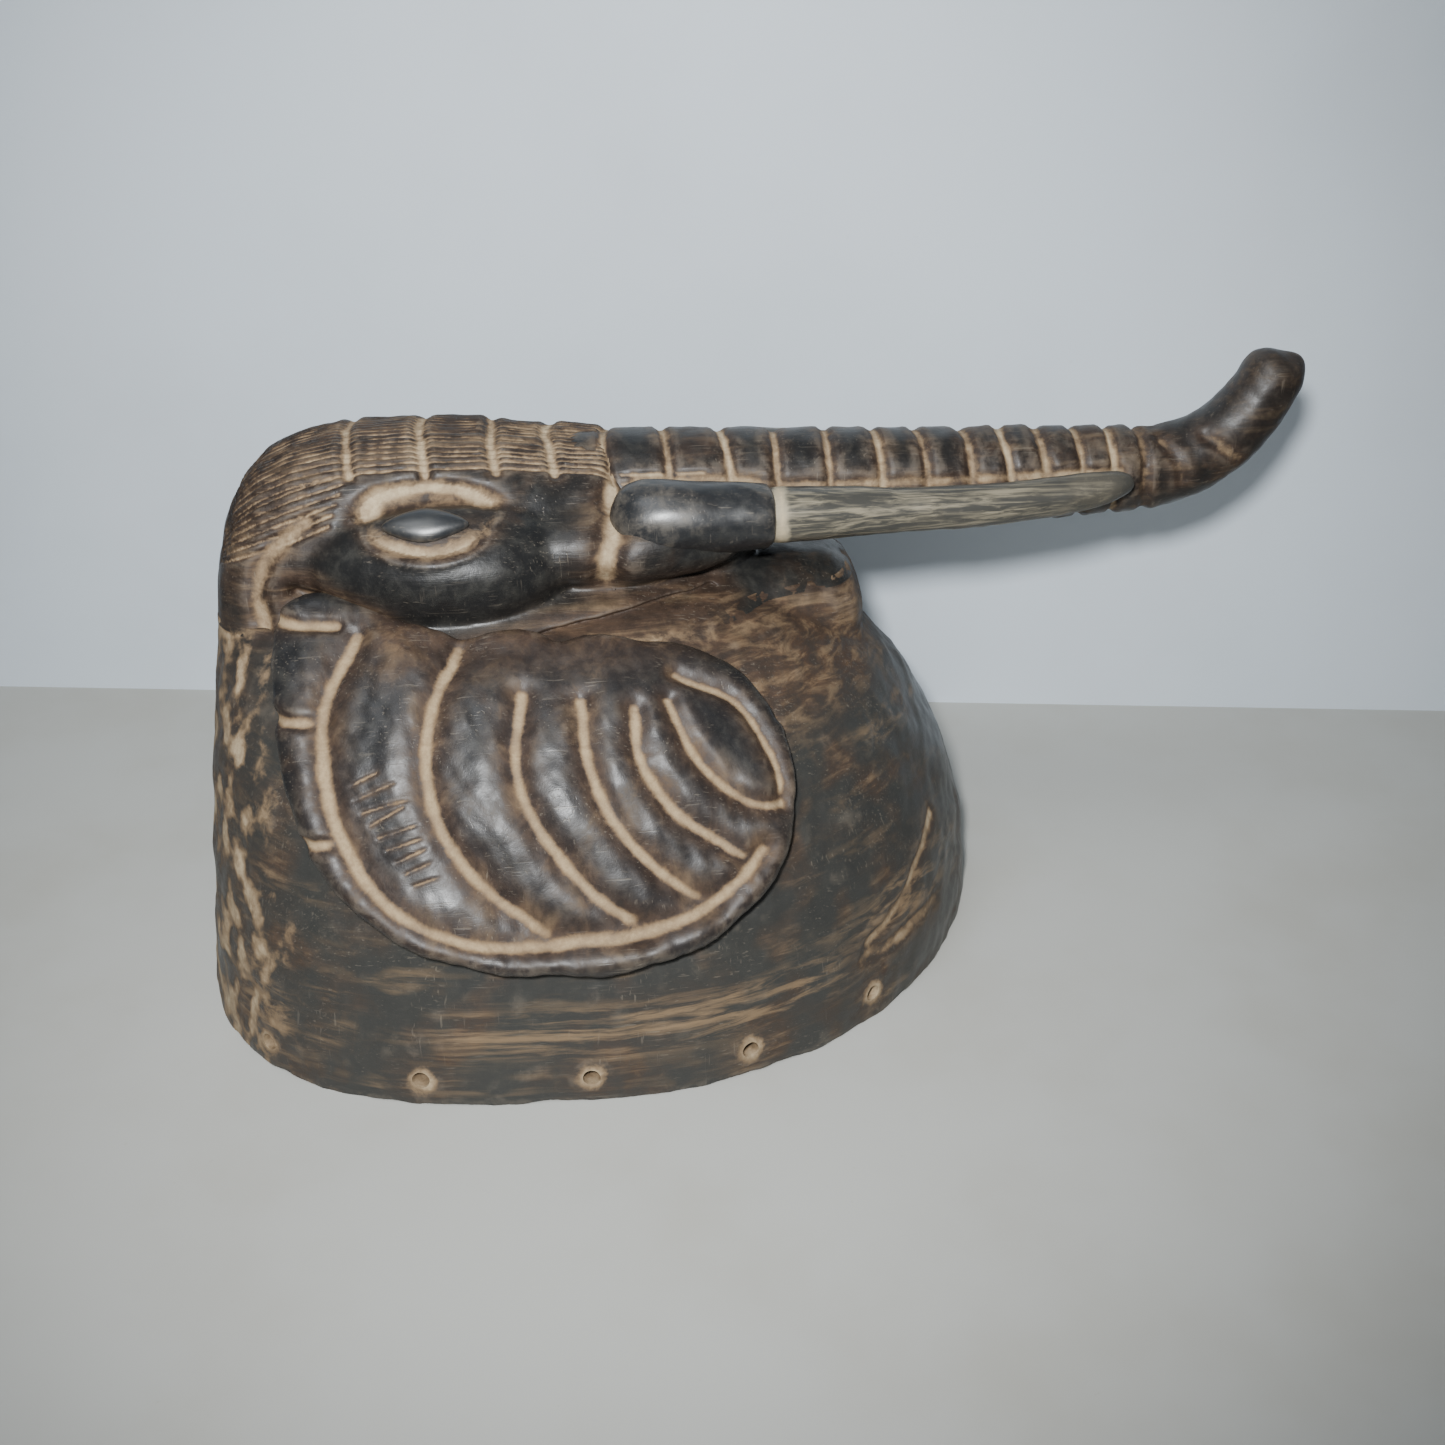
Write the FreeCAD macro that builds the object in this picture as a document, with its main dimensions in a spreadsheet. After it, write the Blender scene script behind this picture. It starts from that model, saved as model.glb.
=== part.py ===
"""Carved wooden elephant helmet mask.

Millimetres. +X points along the trunk, +Z up, -Y is the elephant's right side.
The origin is the middle of the head opening, on the plane that the rim stands on.
The mask is one carving, modelled as solids that meet face to face along its carved creases.
"""
import FreeCAD, Part
import math
import os
from FreeCAD import Placement, Rotation, Vector

doc = FreeCAD.newDocument("elephant_mask")

# ---------------------------------------------------------------- driving dimensions

DIMENSIONS = [
    ("rim_half_length", 170.0, "half the rim's length, outside"),
    ("rim_half_width", 152.0, "half the rim's width, outside"),
    ("dome_rise", 176.0, "height at which the dome's curve would close"),
    ("seat_height", 160.0, "level top of the dome, under the head"),
    ("back_set_in", 21.0, "how far the back wall leans in at the seat"),
    ("wall", 18.0, "thickness of the hollowed wall"),
    ("lacing_band", 24.0, "height of the bored band at the rim"),
    ("lacing_diameter", 7.0, "lacing hole"),
    ("lacing_height", 12.0, "lacing hole's middle above the rim"),
    ("lacing_first_angle", -46.0, "rearmost hole, from straight sideways"),
    ("lacing_step_angle", 21.6, "from one hole to the next"),
    ("skull_half_width", 50.0, "half the head's width"),
    ("crown_height", 223.0, "top of the crown"),
    ("skull_axis_height", 168.0, "widest level of the head"),
    ("skull_front", 12.0, "where the head ends and the ringed trunk starts"),
    ("cheek_half_length", 60.0, "cheek bulge"),
    ("cheek_proud", 12.0, "how far the cheek stands out of the head"),
    ("cheek_half_height", 20.0, "cheek bulge"),
    ("cheek_parting", 2.0, "how far each cheek stays from the head's middle"),
    ("eye_half_length", 14.0, "almond eyeball"),
    ("eye_half_height", 8.5, "almond eyeball"),
    ("eye_ring_half_length", 25.0, "oval around the eye"),
    ("eye_ring_half_height", 14.0, "oval around the eye"),
    ("eye_back", 60.0, "eye's middle, behind the origin"),
    ("eye_height", 194.0, "eye's middle above the rim"),
    ("trunk_axis_height", 192.0, "trunk's centreline"),
    ("trunk_root_radius", 25.0, "trunk at the head"),
    ("trunk_end_radius", 18.0, "trunk where it turns up"),
    ("first_ring", 24.0, "length of the ring nearest the head"),
    ("last_ring", 13.0, "length of the ring nearest the tip"),
    ("upturn_bend", 56.0, "bend radius of the upturned end"),
    ("upturn_angle", 70.0, "how far the end turns up"),
    ("upturn_radius", 16.0, "thickness radius of the upturned end"),
    ("tip_radius", 14.0, "rounded tip"),
    ("sleeve_radius", 15.0, "socket of flesh that the tusk leaves"),
    ("sleeve_back", 30.0, "rear end of the sleeve's straight part"),
    ("sleeve_front", 72.0, "where the tusk leaves its sleeve"),
    ("tusk_root_radius", 12.0, "tusk at the sleeve"),
    ("tusk_end_radius", 8.0, "tusk near its point"),
    ("tusk_length", 146.0, "tusk without its rounded point"),
    ("tusk_bite", 2.0, "how far tusk and sleeve are let into the trunk"),
    ("jaw_half_length", 78.0, "lower jaw"),
    ("jaw_half_width", 42.0, "lower jaw"),
    ("jaw_half_height", 24.0, "lower jaw"),
    ("jaw_middle", 40.0, "lower jaw's middle, ahead of the origin"),
    ("jaw_height", 140.0, "lower jaw's middle above the rim"),
    ("palate_half_width", 34.0, "upper jaw between mouth and trunk"),
    ("palate_front", 66.0, "upper jaw's front end"),
    ("ear_length", 200.0, "ear, along the mask"),
    ("ear_drop", 97.0, "ear, from its top edge to its lower edge"),
    ("ear_rear", 121.0, "ear's rear edge, behind the origin"),
    ("ear_thickness", 12.0, "ear, standing off the flank"),
    ("ear_rim_share", 0.86, "field inside the rim groove, of the whole ear"),
]

RINGS = 12
LACING_HOLES = 5  # on each side
LACING_BLOCK_ANGLE = 12.0  # degrees of the band round each hole
WIDEST_SPAN_ANGLE = 18.0  # longest stretch of the band without a hole

sheet = doc.addObject("Spreadsheet::Sheet", "sizes")
for row, (alias, value, note) in enumerate(DIMENSIONS, start=1):
    sheet.set(f"A{row}", alias)
    sheet.set(f"B{row}", str(value))
    sheet.set(f"C{row}", note)
    sheet.setAlias(f"B{row}", alias)
doc.recompute()


def size(alias):
    """A driving dimension's present value."""
    return float(sheet.get(alias))


# ---------------------------------------------------------------- document helpers


def bound(kind, name, **formulas):
    """A Part object whose properties follow the sheet. A double underscore stands for a dot."""
    item = doc.addObject(kind, name)
    for prop, formula in formulas.items():
        item.setExpression(prop.replace("__", "."), formula)
    return item


def turned(item, axis, angle):
    """Turn a primitive about one axis, leaving its bound position alone."""
    item.Placement = Placement(item.Placement.Base, Rotation(axis, angle))
    return item


def shaped(name, shape):
    """A feature that holds a worked-out shape."""
    item = doc.addObject("Part::Feature", name)
    item.Shape = shape
    item.Placement = Placement()
    return item


def fused(name, items):
    fuse = doc.addObject("Part::MultiFuse", name)
    fuse.Shapes = items
    return fuse


def common(name, items):
    both = doc.addObject("Part::MultiCommon", name)
    both.Shapes = items
    return both


def carved(name, base, tools):
    """base with each of the tools cut out of it in turn."""
    result = base
    for number, tool in enumerate(tools, start=1):
        cut = doc.addObject("Part::Cut", name if number == len(tools) else f"{name}_step{number}")
        cut.Base = result
        cut.Tool = tool
        result = cut
    return result


def mirrored(name, source):
    """The same piece on the elephant's left."""
    copy = doc.addObject("Part::Mirroring", name)
    copy.Source = source
    copy.Base = Vector(0, 0, 0)
    copy.Normal = Vector(0, 1, 0)
    return copy


# ---------------------------------------------------------------- the dome's form

FRONT_FULLNESS = 1.95  # exponent of the rim's curve in front: nearly an ellipse
BACK_FULLNESS = 2.9  # and behind: nearer to a box
FLANK_FULLNESS = 2.1  # exponent of the flank's curve upwards
POINTS_ROUND = 32


def egg(front, back, half_width, height):
    """Closed curve at a height: a superellipse with its own length and fullness front and back."""
    points = []
    for step in range(POINTS_ROUND):
        angle = 2 * math.pi * step / POINTS_ROUND
        along, across = math.cos(angle), math.sin(angle)
        fullness = FRONT_FULLNESS if along >= 0 else BACK_FULLNESS
        reach = front if along >= 0 else back
        x = reach * math.copysign(abs(along) ** (2 / fullness), along)
        y = half_width * math.copysign(abs(across) ** (2 / fullness), across)
        points.append(Vector(x, y, height))
    curve = Part.BSplineCurve()
    curve.interpolate(Points=points, PeriodicFlag=True)
    return Part.Wire([curve.toShape()])


def dome_curve(height, grow):
    """The dome's outside at a height, grown by so much all round."""
    share = (height / size("dome_rise")) ** FLANK_FULLNESS
    narrowing = max(1 - share, 0) ** (1 / FLANK_FULLNESS)
    front = size("rim_half_length") * narrowing
    back = size("rim_half_length") - size("back_set_in") * height / size("seat_height")
    return egg(front + grow, back + grow, size("rim_half_width") * narrowing + grow, height)


def dome_solid(name, low, high, grow, levels=6):
    """A solid of the dome's outside between two heights."""
    heights = [low + (high - low) * step / (levels - 1) for step in range(levels)]
    wires = [dome_curve(height, grow) for height in heights]
    return shaped(name, Part.makeLoft(wires, True))


dome_outside = dome_solid("dome_outside", size("lacing_band"), size("seat_height"), 0.0)
hollow_top = size("seat_height") - size("wall")
dome_inside = dome_solid("dome_inside", size("lacing_band"), hollow_top, -size("wall"))
helmet_shell = carved("helmet_shell", dome_outside, [dome_inside])

# ---------------------------------------------------------------- lacing band at the rim

BAND_LEVELS = 3
band_outside = dome_solid("band_outside", 0.0, size("lacing_band"), 0.0, BAND_LEVELS)
band_inside = dome_solid("band_inside", 0.0, size("lacing_band"), -size("wall"), BAND_LEVELS)


def lacing_angles():
    """Each hole's direction in degrees, anticlockwise from +X seen from above."""
    first, step = size("lacing_first_angle"), size("lacing_step_angle")
    right = [-90 + first + step * number for number in range(LACING_HOLES)]
    return sorted(right) + sorted(-angle for angle in right)


def lacing_drills():
    reach = 1.5 * size("rim_half_length")
    drills = []
    for number, angle in enumerate(lacing_angles(), start=1):
        drill = bound(
            "Part::Cylinder",
            f"lacing_drill_{number}",
            Radius="sizes.lacing_diameter / 2",
            Placement__Base__z="sizes.lacing_height",
        )
        drill.Height = reach
        outward = Vector(math.cos(math.radians(angle)), math.sin(math.radians(angle)), 0)
        drill.Placement = Placement(drill.Placement.Base, Rotation(Vector(0, 0, 1), outward))
        drills.append(drill)
    return drills


def sector(low_angle, high_angle):
    """A wedge of the band's height between two directions."""
    reach = 2 * size("rim_half_length")
    corners = [Vector(0, 0, 0)]
    for angle in (low_angle, (low_angle + high_angle) / 2, high_angle):
        corners.append(
            Vector(reach * math.cos(math.radians(angle)), reach * math.sin(math.radians(angle)), 0)
        )
    face = Part.Face(Part.makePolygon(corners + corners[:1]))
    return face.extrude(Vector(0, 0, size("lacing_band")))


def band_sectors():
    """Directions between which the band is parted: a block round each hole and short spans between."""
    angles = lacing_angles()
    sectors = []
    for number, angle in enumerate(angles):
        last = number == len(angles) - 1
        following = angles[0] + 360 if last else angles[number + 1]
        start = angle + LACING_BLOCK_ANGLE / 2
        end = following - LACING_BLOCK_ANGLE / 2
        sectors.append((angle - LACING_BLOCK_ANGLE / 2, start))
        spans = math.ceil((end - start) / WIDEST_SPAN_ANGLE)
        width = (end - start) / spans
        sectors += [(start + width * span, start + width * (span + 1)) for span in range(spans)]
    return sectors


def split_band(band):
    """The band as separate solids that meet face to face."""
    pieces = []
    for low_angle, high_angle in band_sectors():
        pieces.extend(band.common(sector(low_angle, high_angle)).Solids)
    return Part.makeCompound(pieces)


band = carved("band_whole", band_outside, [band_inside] + lacing_drills())
doc.recompute()
lacing_rim = shaped("lacing_rim", split_band(band.Shape))

# ---------------------------------------------------------------- trunk

ring_slope = "(sizes.first_ring - sizes.last_ring) / %d" % (RINGS - 1)
shaft_length = f"({RINGS} * (sizes.first_ring + sizes.last_ring) / 2)"


def ring_start(number):
    """Formula for where a ring starts, counted from 0 at the head."""
    return (
        f"(sizes.skull_front + {number} * sizes.first_ring"
        f" - {number * (number - 1) / 2} * {ring_slope})"
    )


def shaft_radius(place):
    """Formula for the trunk's radius at a place along X."""
    taper = f"(sizes.trunk_root_radius - sizes.trunk_end_radius) / {shaft_length}"
    return f"(sizes.trunk_root_radius - ({place} - sizes.skull_front) * {taper})"


def along_x(kind, name, **formulas):
    """A primitive whose own axis is turned to lie along +X."""
    item = bound(kind, name, **formulas)
    return turned(item, Vector(0, 1, 0), 90)


def trunk_frustum(name, start, end):
    return along_x(
        "Part::Cone",
        name,
        Radius1=shaft_radius(start),
        Radius2=shaft_radius(end),
        Height=f"{end} - {start}",
        Placement__Base__x=start,
        Placement__Base__z="sizes.trunk_axis_height",
    )


shaft_end = ring_start(RINGS)
trunk_rings = [
    trunk_frustum(f"trunk_ring_{number + 1:02d}", ring_start(number), ring_start(number + 1))
    for number in range(RINGS)
]
trunk_shaft = trunk_frustum("trunk_shaft", ring_start(0), shaft_end)

trunk_upturn = bound(
    "Part::Torus",
    "trunk_upturn",
    Radius1="sizes.upturn_bend",
    Radius2="sizes.upturn_radius",
    Angle3="sizes.upturn_angle",
    Placement__Base__x=shaft_end,
    Placement__Base__z="sizes.trunk_axis_height + sizes.upturn_bend",
)
# the torus turns about its own axis, laid along -Y so that its sweep starts level and climbs
laid_over = Rotation(Vector(1, 0, 0), 90)
start_below = Rotation(Vector(0, 0, 1), -90)
trunk_upturn.Placement = Placement(trunk_upturn.Placement.Base, laid_over.multiply(start_below))

tip_ball = bound(
    "Part::Sphere",
    "tip_ball",
    Radius="sizes.tip_radius",
    Placement__Base__x=f"{shaft_end} + sizes.upturn_bend * sin(sizes.upturn_angle * 1deg)",
    Placement__Base__z=(
        "sizes.trunk_axis_height + sizes.upturn_bend * (1 - cos(sizes.upturn_angle * 1deg))"
    ),
)
trunk_tip = carved("trunk_tip", tip_ball, [trunk_upturn])

# ---------------------------------------------------------------- sleeve and tusk

sleeve_spread = f"({shaft_radius('sizes.sleeve_front')} + sizes.sleeve_radius - sizes.tusk_bite)"
tusk_spread = f"({shaft_radius('sizes.sleeve_front')} + sizes.tusk_root_radius - sizes.tusk_bite)"
tusk_place = "(sizes.sleeve_front + sizes.tusk_length)"
tip_spread = f"({shaft_radius(tusk_place)} + sizes.tusk_end_radius - sizes.tusk_bite)"

sleeve_barrel = along_x(
    "Part::Cylinder",
    "sleeve_barrel",
    Radius="sizes.sleeve_radius",
    Height="sizes.sleeve_front - sizes.sleeve_back",
    Placement__Base__x="sizes.sleeve_back",
    Placement__Base__y=f"-{sleeve_spread}",
    Placement__Base__z="sizes.trunk_axis_height",
)
sleeve_rear = bound(
    "Part::Sphere",
    "sleeve_rear",
    Radius="sizes.sleeve_radius",
    Placement__Base__x="sizes.sleeve_back",
    Placement__Base__y=f"-{sleeve_spread}",
    Placement__Base__z="sizes.trunk_axis_height",
)
sleeve_form = fused("sleeve_form", [sleeve_barrel, sleeve_rear])

tusk_drift = f"({tusk_spread} - {tip_spread})"
tusk_cone = bound(
    "Part::Cone",
    "tusk_cone",
    Radius1="sizes.tusk_root_radius",
    Radius2="sizes.tusk_end_radius",
    Height=f"sqrt(sizes.tusk_length ^ 2 + {tusk_drift} ^ 2)",
    Placement__Base__x="sizes.sleeve_front",
    Placement__Base__y=f"-{tusk_spread}",
    Placement__Base__z="sizes.trunk_axis_height",
)
tusk_point = bound(
    "Part::Sphere",
    "tusk_point",
    Radius="sizes.tusk_end_radius",
    Placement__Base__x=tusk_place,
    Placement__Base__y=f"-{tip_spread}",
    Placement__Base__z="sizes.trunk_axis_height",
)
doc.recompute()
tusk_run = tusk_point.Placement.Base - tusk_cone.Placement.Base
tusk_cone.Placement = Placement(tusk_cone.Placement.Base, Rotation(Vector(0, 0, 1), tusk_run))
tusk_form = fused("tusk_form", [tusk_cone, tusk_point])

# ---------------------------------------------------------------- head

SKULL_STATIONS = [
    # share of the head's length from its back, share of its width, share of its crown height
    (0.00, 0.66, 0.30),
    (0.05, 0.78, 0.58),
    (0.12, 0.88, 0.82),
    (0.24, 0.96, 0.95),
    (0.45, 1.00, 1.00),
    (0.72, 0.98, 0.95),
    (1.00, 0.92, 0.86),
]
SKULL_FULLNESS = 2.2


def skull_wire(x, half_width, half_height):
    """Closed cross-section of the head, across the mask."""
    points = []
    for step in range(POINTS_ROUND):
        angle = 2 * math.pi * step / POINTS_ROUND
        across, upright = math.cos(angle), math.sin(angle)
        y = half_width * math.copysign(abs(across) ** (2 / SKULL_FULLNESS), across)
        z = half_height * math.copysign(abs(upright) ** (2 / SKULL_FULLNESS), upright)
        points.append(Vector(x, y, size("skull_axis_height") + z))
    curve = Part.BSplineCurve()
    curve.interpolate(Points=points, PeriodicFlag=True)
    return Part.Wire([curve.toShape()])


def skull_solid():
    back = -(size("rim_half_length") - size("back_set_in"))
    length = size("skull_front") - back
    rise = size("crown_height") - size("skull_axis_height")
    wires = [
        skull_wire(back + length * place, size("skull_half_width") * width, rise * height)
        for place, width, height in SKULL_STATIONS
    ]
    return Part.makeLoft(wires, True)


skull_form = shaped("skull_form", skull_solid())

cheek_form = bound(
    "Part::Ellipsoid",
    "cheek_form",
    Radius2="sizes.cheek_half_length",
    Radius3="(sizes.skull_half_width + sizes.cheek_proud) / 2 - sizes.cheek_parting",
    Radius1="sizes.cheek_half_height",
    Placement__Base__x="sizes.skull_front - sizes.cheek_half_length",
    Placement__Base__y="-(sizes.skull_half_width + sizes.cheek_proud) / 2 - sizes.cheek_parting",
    Placement__Base__z="sizes.skull_axis_height + sizes.cheek_half_height / 3",
)

EYE_DEPTH = 0.86  # the eyeball's middle, as a share of the head's half-width
eyeball_form = bound(
    "Part::Ellipsoid",
    "eyeball_form",
    Radius2="sizes.eye_half_length",
    Radius3="sizes.eye_half_height",
    Radius1="sizes.eye_half_height",
    Placement__Base__x="-sizes.eye_back",
    Placement__Base__y=f"-sizes.skull_half_width * {EYE_DEPTH}",
    Placement__Base__z="sizes.eye_height",
)
ring_outline = bound(
    "Part::Ellipse",
    "ring_outline",
    MajorRadius="sizes.eye_ring_half_length",
    MinorRadius="sizes.eye_ring_half_height",
    Placement__Base__x="-sizes.eye_back",
    Placement__Base__y=f"-sizes.skull_half_width * {EYE_DEPTH - 0.2}",
    Placement__Base__z="sizes.eye_height",
)
turned(ring_outline, Vector(1, 0, 0), 90)
ring_form = bound("Part::Extrusion", "ring_form", LengthFwd="sizes.skull_half_width * 0.3")
ring_form.Base = ring_outline
ring_form.Dir = Vector(0, -1, 0)
ring_form.DirMode = "Custom"
ring_form.Solid = True

# ---------------------------------------------------------------- jaws

jaw_form = bound(
    "Part::Ellipsoid",
    "jaw_form",
    Radius2="sizes.jaw_half_length",
    Radius3="sizes.jaw_half_width",
    Radius1="sizes.jaw_half_height",
    Placement__Base__x="sizes.jaw_middle",
    Placement__Base__z="sizes.jaw_height",
)
palate_form = bound(
    "Part::Box",
    "palate_form",
    Length="sizes.palate_front - sizes.skull_front",
    Width="2 * sizes.palate_half_width",
    Height="sizes.trunk_axis_height - sizes.seat_height",
    Placement__Base__x="sizes.skull_front",
    Placement__Base__y="-sizes.palate_half_width",
    Placement__Base__z="sizes.seat_height",
)

# ---------------------------------------------------------------- ear

EAR_OUTLINE = [
    # share of the ear's length from its rear edge, share of its drop from its top edge
    (0.00, 0.17),
    (0.02, 0.48),
    (0.10, 0.77),
    (0.26, 0.95),
    (0.50, 1.00),
    (0.74, 0.96),
    (0.91, 0.80),
    (1.00, 0.50),
    (0.96, 0.22),
    (0.82, 0.05),
    (0.60, 0.00),
    (0.30, 0.00),
    (0.08, 0.03),
]
ear_base = "seat_height"


def ear_prism(share):
    """The ear's outline carried sideways, shrunk to a share about the middle of its top edge."""
    length, drop, top = size("ear_length"), size("ear_drop"), size(ear_base)
    pivot_x = -size("ear_rear") + 0.7 * length
    pivot_z = top + 0.1 * drop
    points = []
    for along, down in EAR_OUTLINE:
        x = -size("ear_rear") + along * length
        z = top - down * drop
        points.append(
            Vector(pivot_x + share * (x - pivot_x), 0, pivot_z + share * (z - pivot_z))
        )
    curve = Part.BSplineCurve()
    curve.interpolate(Points=points, PeriodicFlag=True)
    face = Part.Face(Part.Wire([curve.toShape()]))
    return face.extrude(Vector(0, -2 * size("rim_half_width"), 0))


flank_skin = dome_solid(
    "flank_skin", size("lacing_band"), size("seat_height"), size("ear_thickness")
)
ear_outer = shaped("ear_outer", ear_prism(1.0))
ear_inner = shaped("ear_inner", ear_prism(size("ear_rim_share")))
ear_blank = carved("ear_blank", common("ear_slab", [flank_skin, ear_outer]), [dome_outside])
ear_field_right = common("ear_field_right", [ear_blank, ear_inner])
ear_rim_right = carved("ear_rim_right", ear_blank, [ear_inner])

# ---------------------------------------------------------------- carve each piece from the next

eyeball_right = carved("eyeball_right", eyeball_form, [dome_outside])
eye_ring_right = carved("eye_ring_right", ring_form, [eyeball_form])
cheek_right = carved(
    "cheek_right", cheek_form, [dome_outside, ring_form, eyeball_form, ear_blank]
)
tusk_sleeve_right = carved(
    "tusk_sleeve_right", sleeve_form, [trunk_shaft, skull_form, cheek_form, ring_form]
)
tusk_right = carved("tusk_right", tusk_form, [trunk_shaft, sleeve_form])

LEFT_OF = {
    "eyeball_left": eyeball_right,
    "eye_ring_left": eye_ring_right,
    "cheek_left": cheek_right,
    "tusk_sleeve_left": tusk_sleeve_right,
    "tusk_left": tusk_right,
    "ear_field_left": ear_field_right,
    "ear_rim_left": ear_rim_right,
}
left_pieces = [mirrored(name, source) for name, source in LEFT_OF.items()]
left_ring = mirrored("left_ring_form", ring_form)
left_eyeball = mirrored("left_eyeball_form", eyeball_form)
left_cheek = mirrored("left_cheek_form", cheek_form)
left_sleeve = mirrored("left_sleeve_form", sleeve_form)

skull = carved(
    "skull",
    skull_form,
    [
        cheek_form,
        left_cheek,
        dome_outside,
        ring_form,
        left_ring,
        eyeball_form,
        left_eyeball,
    ],
)
lower_jaw = carved("lower_jaw", jaw_form, [dome_outside, skull_form])
palate = carved(
    "palate",
    palate_form,
    [jaw_form, dome_outside, trunk_shaft, sleeve_form, left_sleeve],
)

# ---------------------------------------------------------------- check and write

PIECES = [
    helmet_shell,
    lacing_rim,
    skull,
    lower_jaw,
    palate,
    *trunk_rings,
    trunk_upturn,
    trunk_tip,
    eyeball_right,
    eye_ring_right,
    cheek_right,
    tusk_sleeve_right,
    tusk_right,
    ear_field_right,
    ear_rim_right,
    *left_pieces,
]


def check(item):
    """Stop with a plain message if a piece isn't a sound solid."""
    shape = item.Shape
    if {"Invalid", "Error"} & set(item.State):
        raise RuntimeError(f"{item.Name}: {item.State}")
    if shape.isNull() or not shape.isValid() or not shape.Solids:
        raise RuntimeError(f"{item.Name}: not a sound solid")
    box = shape.BoundBox
    print(
        f"{item.Name:20s} {len(shape.Solids):2d} solids {shape.Volume / 1000:8.1f} cm3"
        f"  x {box.XMin:7.1f} {box.XMax:6.1f}  y {box.YMin:7.1f} {box.YMax:6.1f}"
        f"  z {box.ZMin:6.1f} {box.ZMax:6.1f}"
    )


doc.recompute()
for item in doc.Objects:
    if {"Invalid", "Error"} & set(item.State):
        raise RuntimeError(f"{item.Name}: {item.State}")
os.makedirs("parts", exist_ok=True)
for piece in PIECES:
    piece.Label = piece.Name
    check(piece)
for piece in PIECES:
    piece.Shape.exportStep(f"parts/{piece.Label}.step")
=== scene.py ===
"""Carved wooden elephant helmet mask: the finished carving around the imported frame.

Sizes are in metres; MM turns a carver's millimetres into metres.
+X runs along the trunk, +Z is up, -Y is the elephant's right side.
"""
import math
import bmesh
import bpy
import numpy as np
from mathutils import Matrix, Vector
from mathutils.bvhtree import BVHTree
from mathutils.kdtree import KDTree


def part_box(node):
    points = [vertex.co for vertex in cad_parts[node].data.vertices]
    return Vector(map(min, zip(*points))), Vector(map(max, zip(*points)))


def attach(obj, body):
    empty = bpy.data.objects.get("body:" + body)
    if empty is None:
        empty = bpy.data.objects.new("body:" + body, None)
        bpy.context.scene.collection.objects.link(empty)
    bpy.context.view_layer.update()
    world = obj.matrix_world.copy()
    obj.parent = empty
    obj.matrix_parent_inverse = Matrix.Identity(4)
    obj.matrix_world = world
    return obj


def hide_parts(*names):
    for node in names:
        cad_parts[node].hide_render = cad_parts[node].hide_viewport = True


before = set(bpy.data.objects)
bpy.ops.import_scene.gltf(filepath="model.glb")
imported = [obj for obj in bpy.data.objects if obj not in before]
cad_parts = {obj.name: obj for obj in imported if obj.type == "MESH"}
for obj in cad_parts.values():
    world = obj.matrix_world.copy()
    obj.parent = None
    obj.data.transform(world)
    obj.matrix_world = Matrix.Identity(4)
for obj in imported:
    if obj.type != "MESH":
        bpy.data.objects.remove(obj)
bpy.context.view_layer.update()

MM = 0.001
random = np.random.default_rng(7)

# ---- camera

CAMERA_PLACE = Vector((-6.8, -619.8, 438.0)) * MM
CAMERA_AIM = Vector((52.0, -60.0, 113.0)) * MM
LENS = 39.86        # focal length in mm, for a 36 mm sensor
SENSOR = 36.0
NEAREST = 10 * MM   # nothing closer than this is drawn


def hung(name, data, place, aim):
    """A camera or lamp hung at a place and turned towards its aim."""
    holder = bpy.data.objects.new(name, data)
    bpy.context.scene.collection.objects.link(holder)
    holder.location = place
    holder.rotation_mode = "QUATERNION"
    holder.rotation_quaternion = (Vector(aim) - Vector(place)).to_track_quat("-Z", "Y")
    return holder


def set_up_camera():
    camera = bpy.data.cameras.new("camera")
    camera.lens = LENS
    camera.sensor_width = SENSOR
    camera.clip_start = NEAREST
    bpy.context.scene.camera = hung("camera", camera, CAMERA_PLACE, CAMERA_AIM)


set_up_camera()

# ---- the mask's measures, from the frame

rim_low, rim_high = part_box("lacing_rim")
root_low, root_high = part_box("trunk_ring_01")

HALF_LENGTH = (rim_high.x - rim_low.x) / 2
HALF_WIDTH = (rim_high.y - rim_low.y) / 2
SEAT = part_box("helmet_shell")[1].z      # the dome's top, where the head sits on it
DOME_RISE = SEAT * 1.1                  # where the dome's curve would close
BACK_SET_IN = 21 * MM                   # how far the back leans in from rim to seat
WALL = 18 * MM
HOLE_RADIUS = 3.5 * MM
HOLE_HEIGHT = rim_high.z / 2
HOLE_ANGLES = [-46.0 + 21.6 * number for number in range(5)]
HEAD_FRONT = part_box("skull")[1].x
TRUNK_AXIS = (root_low.z + root_high.z) / 2
TRUNK_ROOT = (root_high.z - root_low.z) / 2
TRUNK_END = 18 * MM
TRUNK_TAPER = 0.031                     # radius lost for each length forward
TRUNK_NODES = [f"trunk_ring_{number:02d}" for number in range(1, 13)]
RINGS = [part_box(node)[1].x for node in TRUNK_NODES]
OUTSIDE = 0.4                           # a place well clear of the mask on either side

# ---- workshop helpers


def deselect():
    if bpy.context.object and bpy.context.object.mode != "OBJECT":
        bpy.ops.object.mode_set(mode="OBJECT")
    bpy.ops.object.select_all(action="DESELECT")


def pick(piece):
    deselect()
    piece.select_set(True)
    bpy.context.view_layer.objects.active = piece


def settle(piece):
    """Put a piece's place into its mesh, so that its object sits at the origin."""
    pick(piece)
    bpy.ops.object.transform_apply(location=True, rotation=True, scale=True)


def apply(piece, kind, **settings):
    pick(piece)
    modifier = piece.modifiers.new(kind.lower(), kind)
    for name, value in settings.items():
        setattr(modifier, name, value)
    bpy.ops.object.modifier_apply(modifier=modifier.name)


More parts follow.
